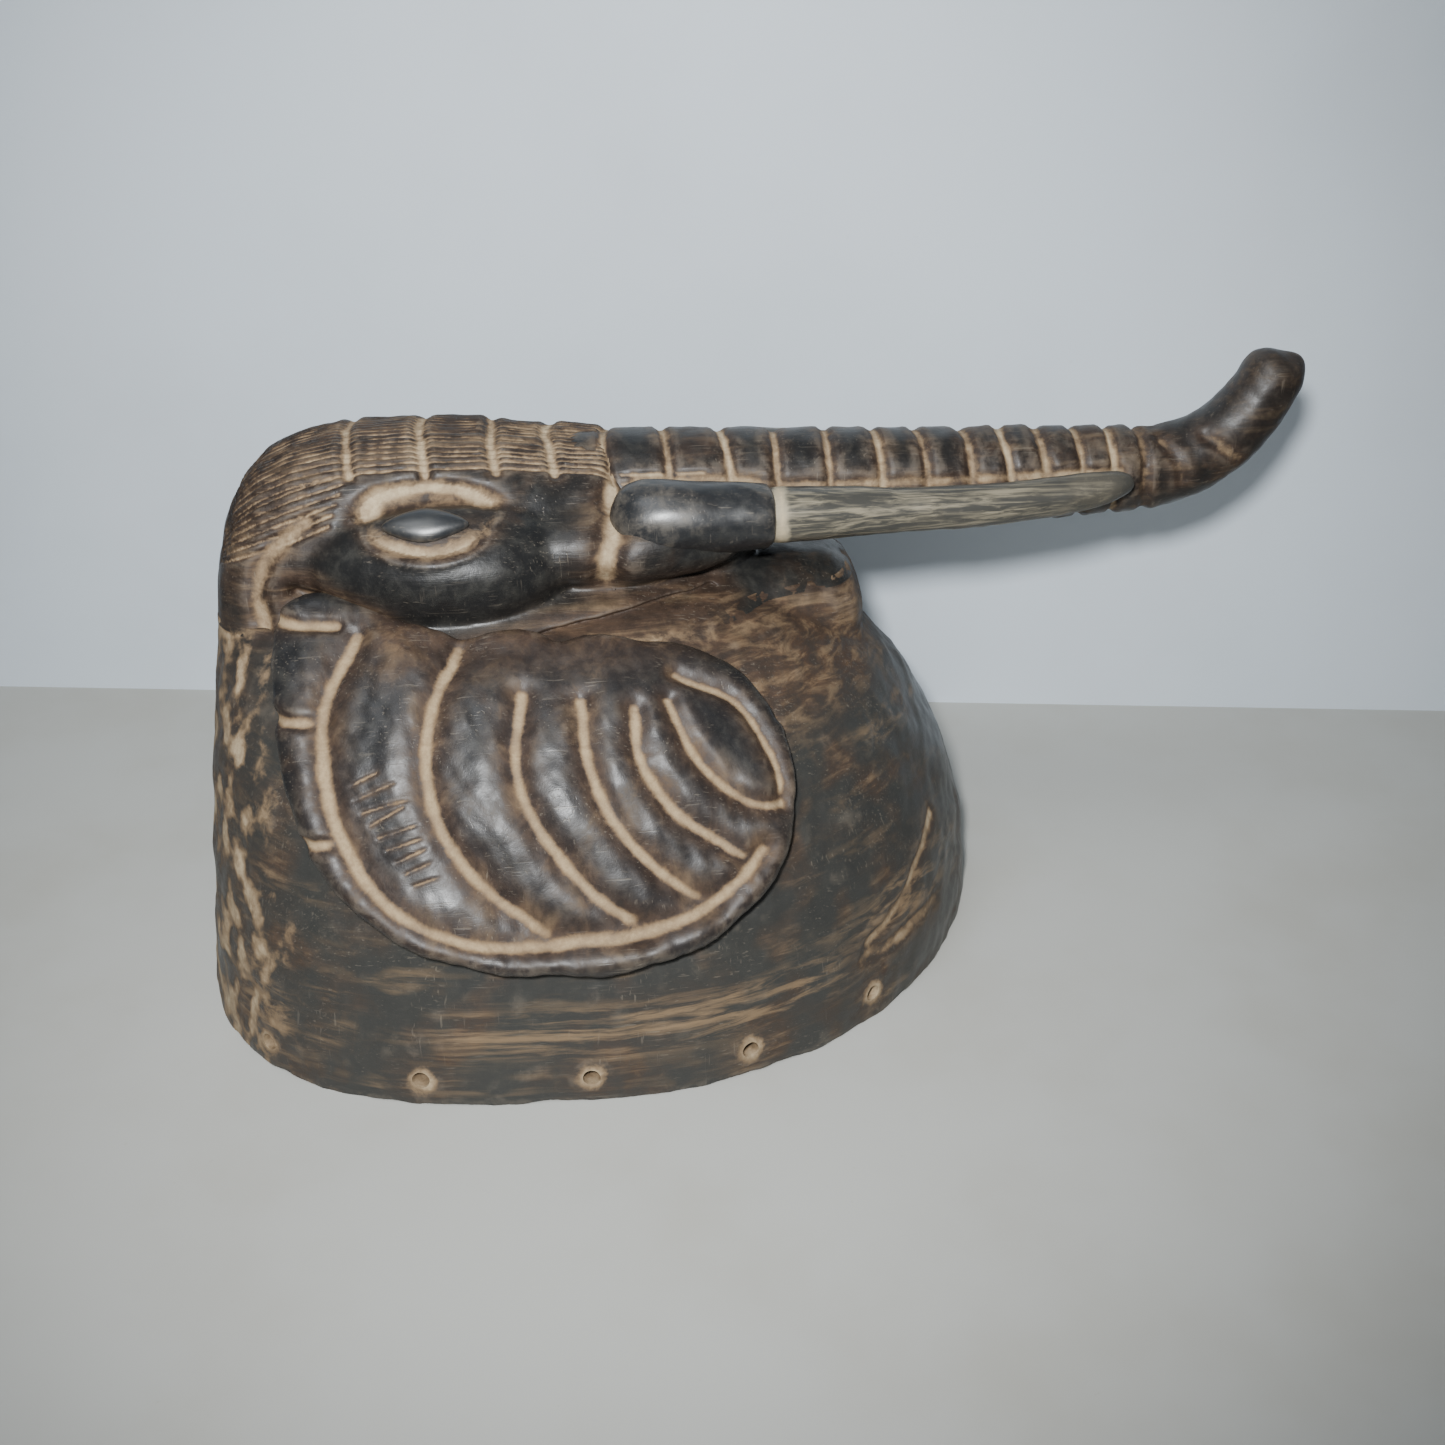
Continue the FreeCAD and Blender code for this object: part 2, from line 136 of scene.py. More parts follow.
def whole_mesh(piece, operator, **settings):
    """Work an edit-mode operator over all of a piece's mesh."""
    pick(piece)
    bpy.ops.object.mode_set(mode="EDIT")
    bpy.ops.mesh.select_all(action="SELECT")
    operator(**settings)
    bpy.ops.object.mode_set(mode="OBJECT")


def face_outwards(piece):
    whole_mesh(piece, bpy.ops.mesh.normals_make_consistent, inside=False)


def copied(piece, name):
    """A copy of a piece, with its own mesh."""
    copy = piece.copy()
    copy.data = piece.data.copy()
    copy.name = name
    bpy.context.scene.collection.objects.link(copy)
    return copy


def joined(name, pieces):
    deselect()
    for piece in pieces:
        piece.select_set(True)
    bpy.context.view_layer.objects.active = pieces[0]
    bpy.ops.object.join()
    pieces[0].name = name
    return pieces[0]


def drawn_form(name, rings):
    """A closed form drawn ring by ring: a disc whose face is extruded to each next outline."""
    deselect()
    bpy.ops.mesh.primitive_circle_add(vertices=len(rings[0]), radius=1.0, fill_type="NGON")
    form = bpy.context.object
    form.name = name
    bpy.ops.object.mode_set(mode="EDIT")
    bpy.ops.mesh.select_mode(type="FACE")
    bpy.ops.mesh.select_all(action="SELECT")
    shape = bmesh.from_edit_mesh(form.data)
    last = {tuple(v.co): number for number, v in enumerate(shape.verts)}
    for turn, ring in enumerate(rings):
        if turn:
            bpy.ops.mesh.extrude_region_move()
            shape = bmesh.from_edit_mesh(form.data)
        chosen = [v for v in shape.verts if v.select]
        now = {}
        for vert in chosen:
            number = last[tuple(vert.co)]
            vert.co = ring[number]
            now[tuple(vert.co)] = number
        last = now
        bmesh.update_edit_mesh(form.data)
    face_outwards(form)
    return form


def pebble(name, centre, radii, segments=48, rings=32):
    deselect()
    bpy.ops.mesh.primitive_uv_sphere_add(
        segments=segments, ring_count=rings, radius=1.0, location=centre, scale=radii
    )
    form = bpy.context.object
    form.name = name
    settle(form)
    return form


def rounded(along, across, fullness):
    """A point of a superellipse, from the cosine and sine of its angle."""
    return (
        math.copysign(abs(along) ** (2 / fullness), along),
        math.copysign(abs(across) ** (2 / fullness), across),
    )


def remesh(piece, voxel, melt):
    """One skin over everything, its creases melted by so many passes of smoothing."""
    apply(piece, "REMESH", mode="VOXEL", voxel_size=voxel, use_smooth_shade=True)
    apply(piece, "SMOOTH", factor=0.5, iterations=melt)


def smooth_line(points, step=0.8 * MM):
    """Points along a smooth line through a few chosen ones."""
    chosen = np.array([tuple(p) for p in points], float)
    ends = np.vstack([2 * chosen[0] - chosen[1], chosen, 2 * chosen[-1] - chosen[-2]])
    line = []
    for before, start, end, after in zip(ends, ends[1:], ends[2:], ends[3:]):
        count = max(int(np.linalg.norm(end - start) / step), 2)
        for share in np.arange(count) / count:
            line.append(
                0.5 * (2 * start + (end - before) * share
                       + (2 * before - 5 * start + 4 * end - after) * share ** 2
                       + (3 * start - before - 3 * end + after) * share ** 3)
            )
    line.append(chosen[-1])
    return np.array(line)


def any_way(made):
    """A random direction."""
    way = made.normal(size=3)
    return way / np.linalg.norm(way)


def waves(places, size, seed):
    """Soft random unevenness of about a given size, mostly between -1 and 1."""
    made = np.random.default_rng(seed)
    per_octave, falling, gain = 5, 1.7, 2.2
    total = np.zeros(len(places))
    weight = 0.0
    for octave in range(3):
        for _ in range(per_octave):
            way = any_way(made)
            scale = size / 2 ** octave * made.uniform(0.7, 1.4)
            # a slow turn of phase keeps the unevenness from running in straight lines
            bend = 2.5 * np.sin(places @ any_way(made) * 2 * math.pi / (size * 2.3))
            bend += made.uniform(0, 6)
            total += np.sin(places @ way * 2 * math.pi / scale + bend) / falling ** octave
        weight += per_octave / falling ** octave
    return total / weight * gain


def fade(away, reach, power=2):
    """1 on a line or spot, dying away towards its reach."""
    return np.exp(-(away / reach) ** power)


def rise(values, start, width):
    """0 up to start, then growing to 1 over a width, in millimetres; a negative width falls."""
    return np.clip((values - start * MM) / (width * MM), 0, 1)


class Carving:
    """A piece under the knife: its points, their normals and the marks left for its finish."""

    MARKS = ("clay", "brown", "rubbed")
    RIDGE = 0.35 * MM     # standing this far out counts as a full ridge

    def __init__(self, piece):
        self.piece = piece
        mesh = piece.data
        count = len(mesh.vertices)
        self.places = np.zeros(count * 3, np.float32)
        mesh.vertices.foreach_get("co", self.places)
        self.places = self.places.reshape(-1, 3).astype(float)
        self.read_normals()
        self.marks = {name: np.zeros(count) for name in self.MARKS}

    def read_normals(self):
        mesh = self.piece.data
        self.normals = np.zeros(len(mesh.vertices) * 3, np.float32)
        mesh.vertex_normals.foreach_get("vector", self.normals)
        self.normals = self.normals.reshape(-1, 3).astype(float)

    def push(self, amount):
        self.places += self.normals * amount[:, None]

    def roughen(self, size, depth, seed):
        """Leave the knife's unevenness, its size and depth in millimetres."""
        self.push(waves(self.places, size * MM, seed) * depth * MM)

    def away_from(self, line, reach):
        """Distance of each point from a line, or far more than reach."""
        tree = KDTree(len(line))
        for number, place in enumerate(line):
            tree.insert(place, number)
        tree.balance()
        low, high = line.min(0) - reach, line.max(0) + reach
        near = np.where(((self.places > low) & (self.places < high)).all(1))[0]
        away = np.full(len(self.places), reach * 50)
        for number in near:
            away[number] = tree.find(self.places[number])[2]
        return away

    def gouge(self, lines, width, depth, clay=1.0, brown=0.7, halo=3.0, lip=0.12, filled=0.4,
              steep=1.35):
        """Round-bottomed cuts along lines, so many millimetres wide and deep.

        Each has a raised lip and some clay left in it; a negative depth raises a ridge.
        """
        width, depth = width * MM, depth * MM
        away = self.away_from(np.vstack(lines), width * halo)
        bed = np.exp(-((away / (width * 0.5)) ** 2) ** steep)
        edge = fade(away - width * 0.85, width * 0.35)
        self.push(depth * (lip * edge - bed))
        self.mark("clay", clay * np.exp(-((away / (width * filled)) ** 2) ** 1.3))
        self.mark("brown", brown * fade(away, width * halo * 0.5))

    def mark(self, name, amount):
        self.marks[name] = np.maximum(self.marks[name], amount)

    def done_shape(self):
        """Fix a new base shape, so that cuts follow its own normals."""
        mesh = self.piece.data
        mesh.vertices.foreach_set("co", self.places.astype(np.float32).ravel())
        face_outwards(self.piece)
        bpy.ops.object.shade_smooth()
        mesh.update()
        self.read_normals()

    def done(self):
        mesh = self.piece.data
        mesh.vertices.foreach_set("co", self.places.astype(np.float32).ravel())
        mesh.update()
        self.read_normals()
        self.marks["ridge"] = self.ridges()
        for name, amount in self.marks.items():
            mark = mesh.attributes.new(name, "FLOAT", "POINT")
            mark.data.foreach_set("value", amount.astype(np.float32))

    def ridges(self):
        """How proud each point stands: above 0.5 on ridges, below in hollows."""
        mesh = self.piece.data
        pairs = np.zeros(len(mesh.edges) * 2, np.int32)
        mesh.edges.foreach_get("vertices", pairs)
        first, second = pairs.reshape(-1, 2).T
        count = len(mesh.vertices)
        links = np.bincount(first, minlength=count) + np.bincount(second, minlength=count)
        links = np.maximum(links, 1)

        def spread(values):
            total = np.bincount(first, values[second], count)
            return (total + np.bincount(second, values[first], count)) / links

        smooth = self.places
        for _ in range(4):
            smooth = np.stack([spread(smooth[:, axis]) for axis in range(3)], 1)
        proud = ((self.places - smooth) * self.normals).sum(1)
        for _ in range(2):
            proud = spread(proud)
        return np.clip(0.5 + proud / self.RIDGE, 0, 1)


def lift_from(tree, x, z, side=-1):
    """The point of a surface straight in from the side at x and z."""
    return tree.ray_cast(Vector((x, side * OUTSIDE, z)), Vector((0, -side, 0)))[0]


def side_line(tree, points, side=-1):
    """A smooth line on a surface through points chosen on a side view, in millimetres."""
    flat = smooth_line([(x * MM, 0, z * MM) for x, z in points], 1.0 * MM)
    found = [lift_from(tree, x, z, side) for x, _, z in flat]
    return np.array([tuple(place) for place in found if place is not None]).reshape(-1, 3)


def surface(piece):
    return BVHTree.FromObject(piece, bpy.context.evaluated_depsgraph_get())


# ---- blocking out the dome and the head

FRONT_FULLNESS = 1.95   # 2 is an ellipse; more is squarer
BACK_FULLNESS = 2.9
FLANK_FULLNESS = 2.1
JAW_FULLNESS = 2.8
DOME_HEIGHTS = [-8, 0, 15, 30, 50, 70, 90, 108, 124, 138, 149, 158, 165, 170.5, 174]
SKULL_FLOOR = 112
SKULL_RINGS = [
    # x, half-width, top, in millimetres
    (-147, 34, 168), (-143, 40, 186), (-136, 43.5, 201), (-126, 46, 212), (-112, 47.5, 218.5),
    (-92, 49, 222), (-66, 50, 223), (-40, 49.5, 221.5), (-16, 47, 218.5), (2, 44, 216),
    (16, 40, 214.5),
]
JAW_RINGS = [
    # x, half-width, top, bottom
    (-30, 52, 170, 110), (20, 50, 171, 110), (55, 43, 169, 112), (85, 36, 166, 112),
    (103, 31, 162, 116), (112, 26, 157, 120), (117, 17, 148, 128),
]
PALATE_RINGS = [(-20, 36, 200, 150), (30, 36, 190, 155), (58, 30, 184, 160), (70, 20, 180, 165)]
BULGES = [
    # name, middle on the left side, radii
    ("cheek", (-55, 35, 178), (54, 31, 27)), ("lip", (8, 34, 183), (56, 21, 16)),
]


def narrowing(height):
    """The dome's half-width at a height, as a share of its half-width at the rim."""
    share = max(min(height / DOME_RISE, 1), 0) ** FLANK_FULLNESS
    return (1 - share) ** (1 / FLANK_FULLNESS)


def dome_reach(height):
    """Front, back and sideways reach of the dome at a height."""
    back = HALF_LENGTH - BACK_SET_IN * height / SEAT
    return HALF_LENGTH * narrowing(height), back, HALF_WIDTH * narrowing(height)


def egg(height, grow=0.0, sides=96):
    """The dome's outline at a height, grown outwards or shrunk."""
    front, back, half_width = dome_reach(height)
    ring = []
    for number in range(sides):
        angle = 2 * math.pi * number / sides
        fullness = FRONT_FULLNESS if math.cos(angle) >= 0 else BACK_FULLNESS
        along, across = rounded(math.cos(angle), math.sin(angle), fullness)
        reach = front if along >= 0 else back
        ring.append(Vector((along * (reach + grow), across * (half_width + grow), height)))
    return ring


def arch(x, half_width, top, bottom, fullness=2.3, sides=64):
    """A rounded cross-section of the head between bottom and top, given in millimetres."""
    ring = []
    middle, half_height = (top * MM + bottom * MM) / 2, (top * MM - bottom * MM) / 2
    for number in range(sides):
        angle = 2 * math.pi * number / sides
        across, upright = rounded(math.cos(angle), math.sin(angle), fullness)
        ring.append(Vector((x * MM, across * (half_width * MM), middle + upright * half_height)))
    return ring


def block_out():
    """The whole carving before detail: dome, skull, cheeks, lips and jaw under one skin."""
    forms = [
        drawn_form("dome", [egg(height * MM) for height in DOME_HEIGHTS]),
        drawn_form("skull_block", [arch(*ring, SKULL_FLOOR) for ring in SKULL_RINGS]),
    ]
    for side in (-1, 1):
        for name, (x, y, z), radii in BULGES:
            forms.append(pebble(name, Vector((x, side * y, z)) * MM, Vector(radii) * MM))
    forms.append(drawn_form("jaw_block", [arch(*ring, JAW_FULLNESS) for ring in JAW_RINGS]))
    forms.append(drawn_form("palate_block", [arch(*ring) for ring in PALATE_RINGS]))
    return joined("mask_rough", forms)


def skin_over(forms, name, voxel, melt):
    """One skin over the blocked-out forms, melted together and a little uneven from the knife."""
    skin = copied(forms, name)
    remesh(skin, voxel, melt)
    carving = Carving(skin)
    carving.roughen(55, 0.9, 11)
    carving.done_shape()
    return skin


def cut_at(piece, height, keep_above, fill):
    """Cut a piece level at a height and keep one half."""
    whole_mesh(
        piece, bpy.ops.mesh.bisect, plane_co=(0, 0, height), plane_no=(0, 0, 1), use_fill=fill,
        clear_inner=keep_above, clear_outer=not keep_above,
    )


def parted(piece, height, keep_above):
    """Part a finished carving at the seam and keep its cut edge crisp."""
    cut_at(piece, height, keep_above, fill=True)
    bpy.ops.object.shade_smooth_by_angle(angle=math.radians(55))


forms = block_out()
rough = skin_over(forms, "helmet", 1.9 * MM, melt=14)
fine = skin_over(forms, "head", 1.05 * MM, melt=46)
bpy.data.objects.remove(forms)
rough_surface = surface(rough)

# ---- ears, laid on the flank


class Flank:
    """The right flank as a field of depths, smoothed so that an ear can lie on it."""

    STEP = 3 * MM
    PASSES = 6

    def __init__(self, tree, low, high):
        self.low = low
        columns = int((high[0] - low[0]) / self.STEP) + 1
        rows = int((high[1] - low[1]) / self.STEP) + 1
        self.depth = np.zeros((columns, rows))
        for column in range(columns):
            for row in range(rows):
                x, z = low[0] + column * self.STEP, low[1] + row * self.STEP
                found = lift_from(tree, x, z)
                self.depth[column, row] = found.y if found is not None else 0.0
        for _ in range(self.PASSES):
            padded = np.pad(self.depth, 1, mode="edge")
            self.depth = (
                padded[:-2, 1:-1] + padded[2:, 1:-1] + padded[1:-1, :-2] + padded[1:-1, 2:]
                + 2 * self.depth
            ) / 6
        self.slope_x, self.slope_z = np.gradient(self.depth, self.STEP)

    def look_up(self, grid, x, z):
        column = np.clip((x - self.low[0]) / self.STEP, 0, grid.shape[0] - 1.001)
        row = np.clip((z - self.low[1]) / self.STEP, 0, grid.shape[1] - 1.001)
        left, below = column.astype(int), row.astype(int)
        over, up = column - left, row - below
        return (
            grid[left, below] * (1 - over) * (1 - up) + grid[left + 1, below] * over * (1 - up)
            + grid[left, below + 1] * (1 - over) * up + grid[left + 1, below + 1] * over * up
        )

    def outward(self, x, z):
        lean_x, lean_z = (self.look_up(slope, x, z) for slope in (self.slope_x, self.slope_z))
        way = np.stack([lean_x, -np.ones_like(x), lean_z], 1)
        return way / np.linalg.norm(way, axis=1)[:, None]

    def raised(self, x, z, lift):
        base = np.stack([x, self.look_up(self.depth, x, z), z], 1)
        return base + self.outward(x, z) * lift[:, None]


flank = Flank(rough_surface, (-150 * MM, 40 * MM), (110 * MM, 205 * MM))

EAR_EDGE = [
    # x, z and how far the edge stands off the flank, in millimetres, round from the rear
    (-121, 146, 12), (-118, 123, 13), (-111, 105, 14), (-99, 91, 15), (-81, 79, 15),
    (-55, 70, 15), (-21, 65, 15), (15, 66, 15), (43, 72, 15), (64, 84, 14), (75, 99, 13),
    (78, 116, 12), (73, 133, 9), (61, 147, 6), (42, 156, 4), (20, 160, 4), (-12, 160, 3),
    (-48, 162, 3), (-80, 167, 4), (-104, 176, 7), (-119, 172, 10), (-122, 160, 11),
]
EAR_MIDDLE = (-21 * MM, 116 * MM)
EAR_FIELD = 7 * MM      # how far the ear's field stands off the flank
EAR_SWELL = 1.5 * MM    # more than that at its middle


def ear_edge():
    """The ear's edge as angle, reach and lift, measured on the flank below it."""
    points = np.array(EAR_EDGE, float) * MM
    x, z = points[:, 0].copy(), points[:, 1].copy()
    for _ in range(4):
        way = flank.outward(x, z)
        x = points[:, 0] - way[:, 0] * points[:, 2]
        z = points[:, 1] - way[:, 2] * points[:, 2]
    away_x, away_z = x - EAR_MIDDLE[0], z - EAR_MIDDLE[1]
    angle = np.unwrap(np.arctan2(away_z, away_x))
    return angle, np.hypot(away_x, away_z), points[:, 2]


def round_trip(angle, values, wanted):
    """Values given at angles round a loop, read smoothly at other angles."""
    order = np.argsort(np.mod(angle, 2 * math.pi))
    known, value = np.mod(angle, 2 * math.pi)[order], values[order]
    known = np.concatenate([known[-3:] - 2 * math.pi, known, known[:3] + 2 * math.pi])
    value = np.concatenate([value[-3:], value, value[:3]])
    fine = np.linspace(0, 2 * math.pi, 721)
    read = np.interp(fine, known, value)
    ring = read[:-1]
    for _ in range(60):
        ring = (np.roll(ring, 1) + 2 * ring + np.roll(ring, -1)) / 4
    return np.interp(np.mod(wanted, 2 * math.pi), fine, np.append(ring, ring[0]))


EAR_RIM_GROOVE = [(-88, 165), (-99, 149), (-101, 132), (-96, 112), (-84, 95), (-66, 83),
                  (-38, 76), (-3, 76), (27, 80), (49, 89), (61, 98)]
EAR_VEINS = [
    [(-50, 160), (-60, 148), (-63, 128), (-57, 110), (-42, 92), (-22, 78)],
    [(-27, 150), (-30, 131), (-22, 111), (-5, 91), (13, 78)],
    [(-5, 148), (-3, 130), (8, 109), (28, 90), (41, 84)],
    [(15, 145), (16, 131), (29, 113), (50, 99), (59, 97)],
    [(28, 146), (38, 128), (54, 114), (71, 110)],
    [(32, 151), (54, 141), (67, 125), (71, 111)],
]
EAR_NOTCHES = [
    [(-124, 167), (-96, 167)],
    [(-125, 141), (-100, 143)],
    [(-116, 104), (-96, 109)],
]


def ear_hatching():
    """Fine slanting knife lines between the rim groove and the first vein."""
    lines = []
    for number in range(9):
        x, z = -93 + 3.0 * number, 124 - 3.6 * number
        lines.append([(x, z), (x + 12 + number % 3 * 3, z + 5 + number % 2)])
    return lines


def carve_ear():
    ear = pebble("right_ear", (0, 0, 0), (1, 1, 1), segments=240, rings=120)
    carving = Carving(ear)
    unit = carving.places
    # the pebble lies with its poles across the ear
    reach = np.hypot(unit[:, 0], unit[:, 1])
    angle = np.arctan2(unit[:, 1], unit[:, 0])
    front = unit[:, 2] > 0
    edge_angle, edge_reach, edge_lift = ear_edge()
    edge = round_trip(edge_angle, edge_reach, angle)
    stand = round_trip(edge_angle, edge_lift, angle)
    x = EAR_MIDDLE[0] + edge * reach * np.cos(angle)
    z = EAR_MIDDLE[1] + edge * reach * np.sin(angle)
    field = EAR_FIELD + EAR_SWELL * (1 - reach ** 2)
    border = 1 / (1 + np.exp(-(reach - 0.80) / 0.05))
    sunk = np.clip((reach - 0.15) / 0.6, 0, 1) ** 1.5
    field = field * (1 - sunk) + np.minimum(field, stand + 3 * MM) * sunk
    top = field * (1 - border) + stand * border
    under = np.where(stand > 9 * MM, 4 * MM, -3 * MM) * np.clip((reach - 0.8) * 5, 0, 1) - 2 * MM
    round_off = (1 - np.minimum(reach, 1) ** 22) ** 0.5
    lift = np.where(front, under + (top - under) * (0.45 + 0.55 * round_off),
                    under + (top - under) * 0.45 * (1 - round_off))
    carving.places = flank.raised(x, z, lift)
    carving.done_shape()
    remesh(ear, 0.95 * MM, melt=5)
    return Carving(ear)


def finish_ear(carving):
    ear = carving.piece
    tree = surface(ear)
    carving.roughen(26, 0.5, 3)
    carving.gouge([side_line(tree, EAR_RIM_GROOVE)], 11, 3.4,
                  clay=0.95, brown=0.9, halo=1.7, lip=0, filled=0.25, steep=0.9)
    for number, vein in enumerate(EAR_VEINS):
        carving.gouge([side_line(tree, vein)], 11.4 - 0.6 * number, 3.3,
                      clay=0.95, brown=0.9, halo=1.6, lip=0, filled=0.22, steep=0.9)
    carving.gouge([side_line(tree, notch) for notch in EAR_NOTCHES], 6, 1.8,
                  brown=0.8, halo=1.8)
    carving.gouge(
        [side_line(tree, line) for line in ear_hatching()], 1.5, 0.5,
        clay=0.75, brown=0.7, halo=2.4,
    )
    x, _, z = carving.places.T
    carving.mark("brown", 0.9 * rise(z, 148, 14) * rise(x, -92, 16))
    carving.done()
    return ear


def mirrored(piece, name):
    """A copy on the other side of the mask."""
    copy = copied(piece, name)
    copy.scale = (1, -1, 1)
    settle(copy)
    face_outwards(copy)
    return copy


ear_right = finish_ear(carve_ear())
ear_left = mirrored(ear_right, "left_ear")

# ---- the head, from crown to lips

SEAM = 157 * MM        # height where head and helmet part
OVERLAP = 1.5 * MM     # each runs this far past the seam
HEAD_AXIS = 180 * MM
EYE = (-60 * MM, 203.5 * MM)
EYEBALL_HEIGHT = 200.2 * MM
EYE_REACH = (28 * MM, 11.5 * MM)


def around_line(tree, points):
    """A smooth line on the head through points given as x, turn and lean.

    A turn of 0 is the right side, 90 the top and 180 the left; lean swings it over the back.
    """
    found = []
    for x, turn, lean in smooth_line(points, 1.0):
        turn, lean = math.radians(turn), math.radians(lean)
        way = Vector((
            -math.sin(lean), -math.cos(turn) * math.cos(lean), math.sin(turn) * math.cos(lean)
        ))
        start = Vector((x * MM, 0, HEAD_AXIS))
        hit = tree.ray_cast(start + way * 0.3, -way)[0]
        if hit is not None:
            found.append(tuple(hit))
    return np.array(found).reshape(-1, 3)


def eye_share(places):
    """Distance from the eye's middle on either side, as a share of its socket."""
    upright = (places[:, 2] - EYE[1]) / EYE_REACH[1]
    upright = np.where(upright > 0, upright * 1.35, upright)
    return np.hypot((places[:, 0] - EYE[0]) / EYE_REACH[0], upright)


# lines on the side of the head, as x and z in millimetres
CREASE = [(-112, 172), (-95, 165), (-75, 156), (-55, 153), (-32, 156), (-7, 160), (21, 163),
          (50, 163)]
BELOW_CREASE = [(-62, 150), (-35, 150), (-8, 154), (20, 157), (46, 155)]
MOUTH_CORNER = [(14, 207), (11, 196), (8, 184), (8, 174)]
NAPE_FOLD = [(-126, 160), (-127, 176), (-119, 190), (-106, 199)]
EYELID = [(-88, 200), (-74, 192), (-58, 190), (-42, 193), (-32, 201)]
BROW_RINGS = (-91, -62, -35, -12, 12)


def press_crease(carving, side):
    """The crease under the cheek and lip, pressed straight in so that both halves agree."""
    away = carving.away_from(side_line(rough_surface, CREASE, side), 22 * MM)
    carving.places[:, 1] -= side * MM * (2.6 * fade(away, 7 * MM) + 4.0 * fade(away, 2.6 * MM))
    carving.mark("brown", fade(away, 13 * MM, 4))
    below = carving.away_from(side_line(rough_surface, BELOW_CREASE, side), 14 * MM)
    carving.mark("clay", 0.46 * fade(below, 5 * MM))
    carving.mark("brown", fade(below, 14 * MM, 4))


def carve_head(head):
    carving = Carving(head)
    tree = surface(head)
    hatch = []
    for number in range(20):
        turn = 50 + number * 4.21
        sweep = abs(turn - 90) / 50
        away = math.copysign(26 * sweep ** 1.5, turn - 90)
        hatch.append(around_line(tree, [
            (11, turn, 0), (-30, turn + random.uniform(-1, 1), 0), (-75, turn, 0),
            (-104, turn + away * 0.25, 8), (-108, turn + away * 0.8, 38),
            (-108, turn + away * 1.4, 62),
        ]))
    for number in range(6):
        turn = 45 - number * 5.2
        line = [(-90 - number * 1.5, turn + 4, 0), (-104, turn - 2, 8),
                (-108, turn - 13, 36), (-108, turn - 24, 56)]
        hatch.append(around_line(tree, line))
        hatch.append(around_line(tree, [(x, 180 - angle, lean) for x, angle, lean in line]))
    carving.gouge(hatch, 1.9, 0.8, clay=0.66, brown=0.85, halo=2.4)
    rings = []
    for x in BROW_RINGS:
        slant = random.uniform(-2, 2)
        rings.append(around_line(tree, [
            (x + 2, 48, 0), (x + 1, 58, 0), (x, 72, 0), (x + slant, 90, 0), (x, 108, 0),
            (x + 1, 122, 0), (x + 2, 132, 0),
        ]))
    carving.gouge(rings, 5.2, 1.5, clay=0.8, brown=0.8, halo=2.2)
    for side in (-1, 1):
        carving.gouge([side_line(tree, MOUTH_CORNER, side)], 12, 3.2,
                      clay=0.72, brown=1.0, halo=2.0, lip=0, filled=0.36)
        carving.gouge([side_line(tree, NAPE_FOLD, side)], 9, 2.4,
                      clay=0.6, brown=1.0, halo=2.0, lip=0)
        press_crease(carving, side)
        carving.gouge([side_line(tree, EYELID, side)], 5, -1.1, clay=0, brown=0, lip=0)
    share = eye_share(carving.places)
    facing = np.clip(np.abs(carving.normals[:, 1]) * 2 - 0.5, 0, 1)
    socket = facing / (1 + np.exp((share - 1.0) / 0.06))
    carving.push(-3.6 * MM * socket)
    ring = fade(share - 0.83, 0.22, 4)
    carving.mark("clay", facing * (0.3 * (share < 0.9) + 0.58 * ring))
    carving.mark("brown", facing * fade(np.maximum(share - 1, 0), 0.2))
    back = rise(carving.places[:, 0], -118, -26)
    carving.mark("brown", back * (0.55 + 0.3 * waves(carving.places, 30 * MM, 5)))
    carving.done()
    parted(head, SEAM - OVERLAP, keep_above=True)
    return head


def carve_eyeball(head, side, name):
    eyeball = pebble(name, (0, 0, 0), (1, 1, 1), segments=64, rings=40)
    carving = Carving(eyeball)
    unit = carving.places.copy()
    hit, out, _, _ = surface(head).ray_cast(
        Vector((EYE[0], side * OUTSIDE, EYEBALL_HEIGHT)), Vector((0, -side, 0))
    )
    out = Vector((0, out.y, out.z)).normalized()
    along = Vector((1, 0, 0))
    up = out.cross(along) * (-side)
    if up.z < 0:
        up.negate()
    taper = 1 - 0.42 * np.abs(unit[:, 0]) ** 1.6
    carving.places = (
        np.array(hit) - np.array(out) * 0.9 * MM
        + np.outer(unit[:, 0] * 16.5 * MM, along)
        + np.outer(unit[:, 1] * taper * 7.4 * MM, up)
        + np.outer(unit[:, 2] * 4.6 * MM, out)
    )
    carving.done_shape()
    carving.done()
    return eyeball


head = carve_head(fine)
eyeball_right = carve_eyeball(head, -1, "right_eyeball")
eyeball_left = carve_eyeball(head, 1, "left_eyeball")

# ---- the helmet, hollowed and pierced


HOLLOW_HEIGHTS = [-12, 0, 8, 18, 30, 42, 54, 66, 78, 90, 100, 109, 117, 124, 130, 135, 139]
CRACK = [(106, 37), (120, 44), (130, 54), (140, 66)]
CHIPS = [(104, 32), (116, 30), (130, 32), (142, 30)]


def hole_line(angle, side):
    """A point on a lacing hole's axis, near the wall, and the axis outwards."""
    front, back, half_width = dome_reach(HOLE_HEIGHT)
    turn = math.radians(angle)
    way = Vector((math.sin(turn), side * math.cos(turn), 0))
    return Vector((way.x * (front if way.x > 0 else back), way.y * half_width, HOLE_HEIGHT)), way


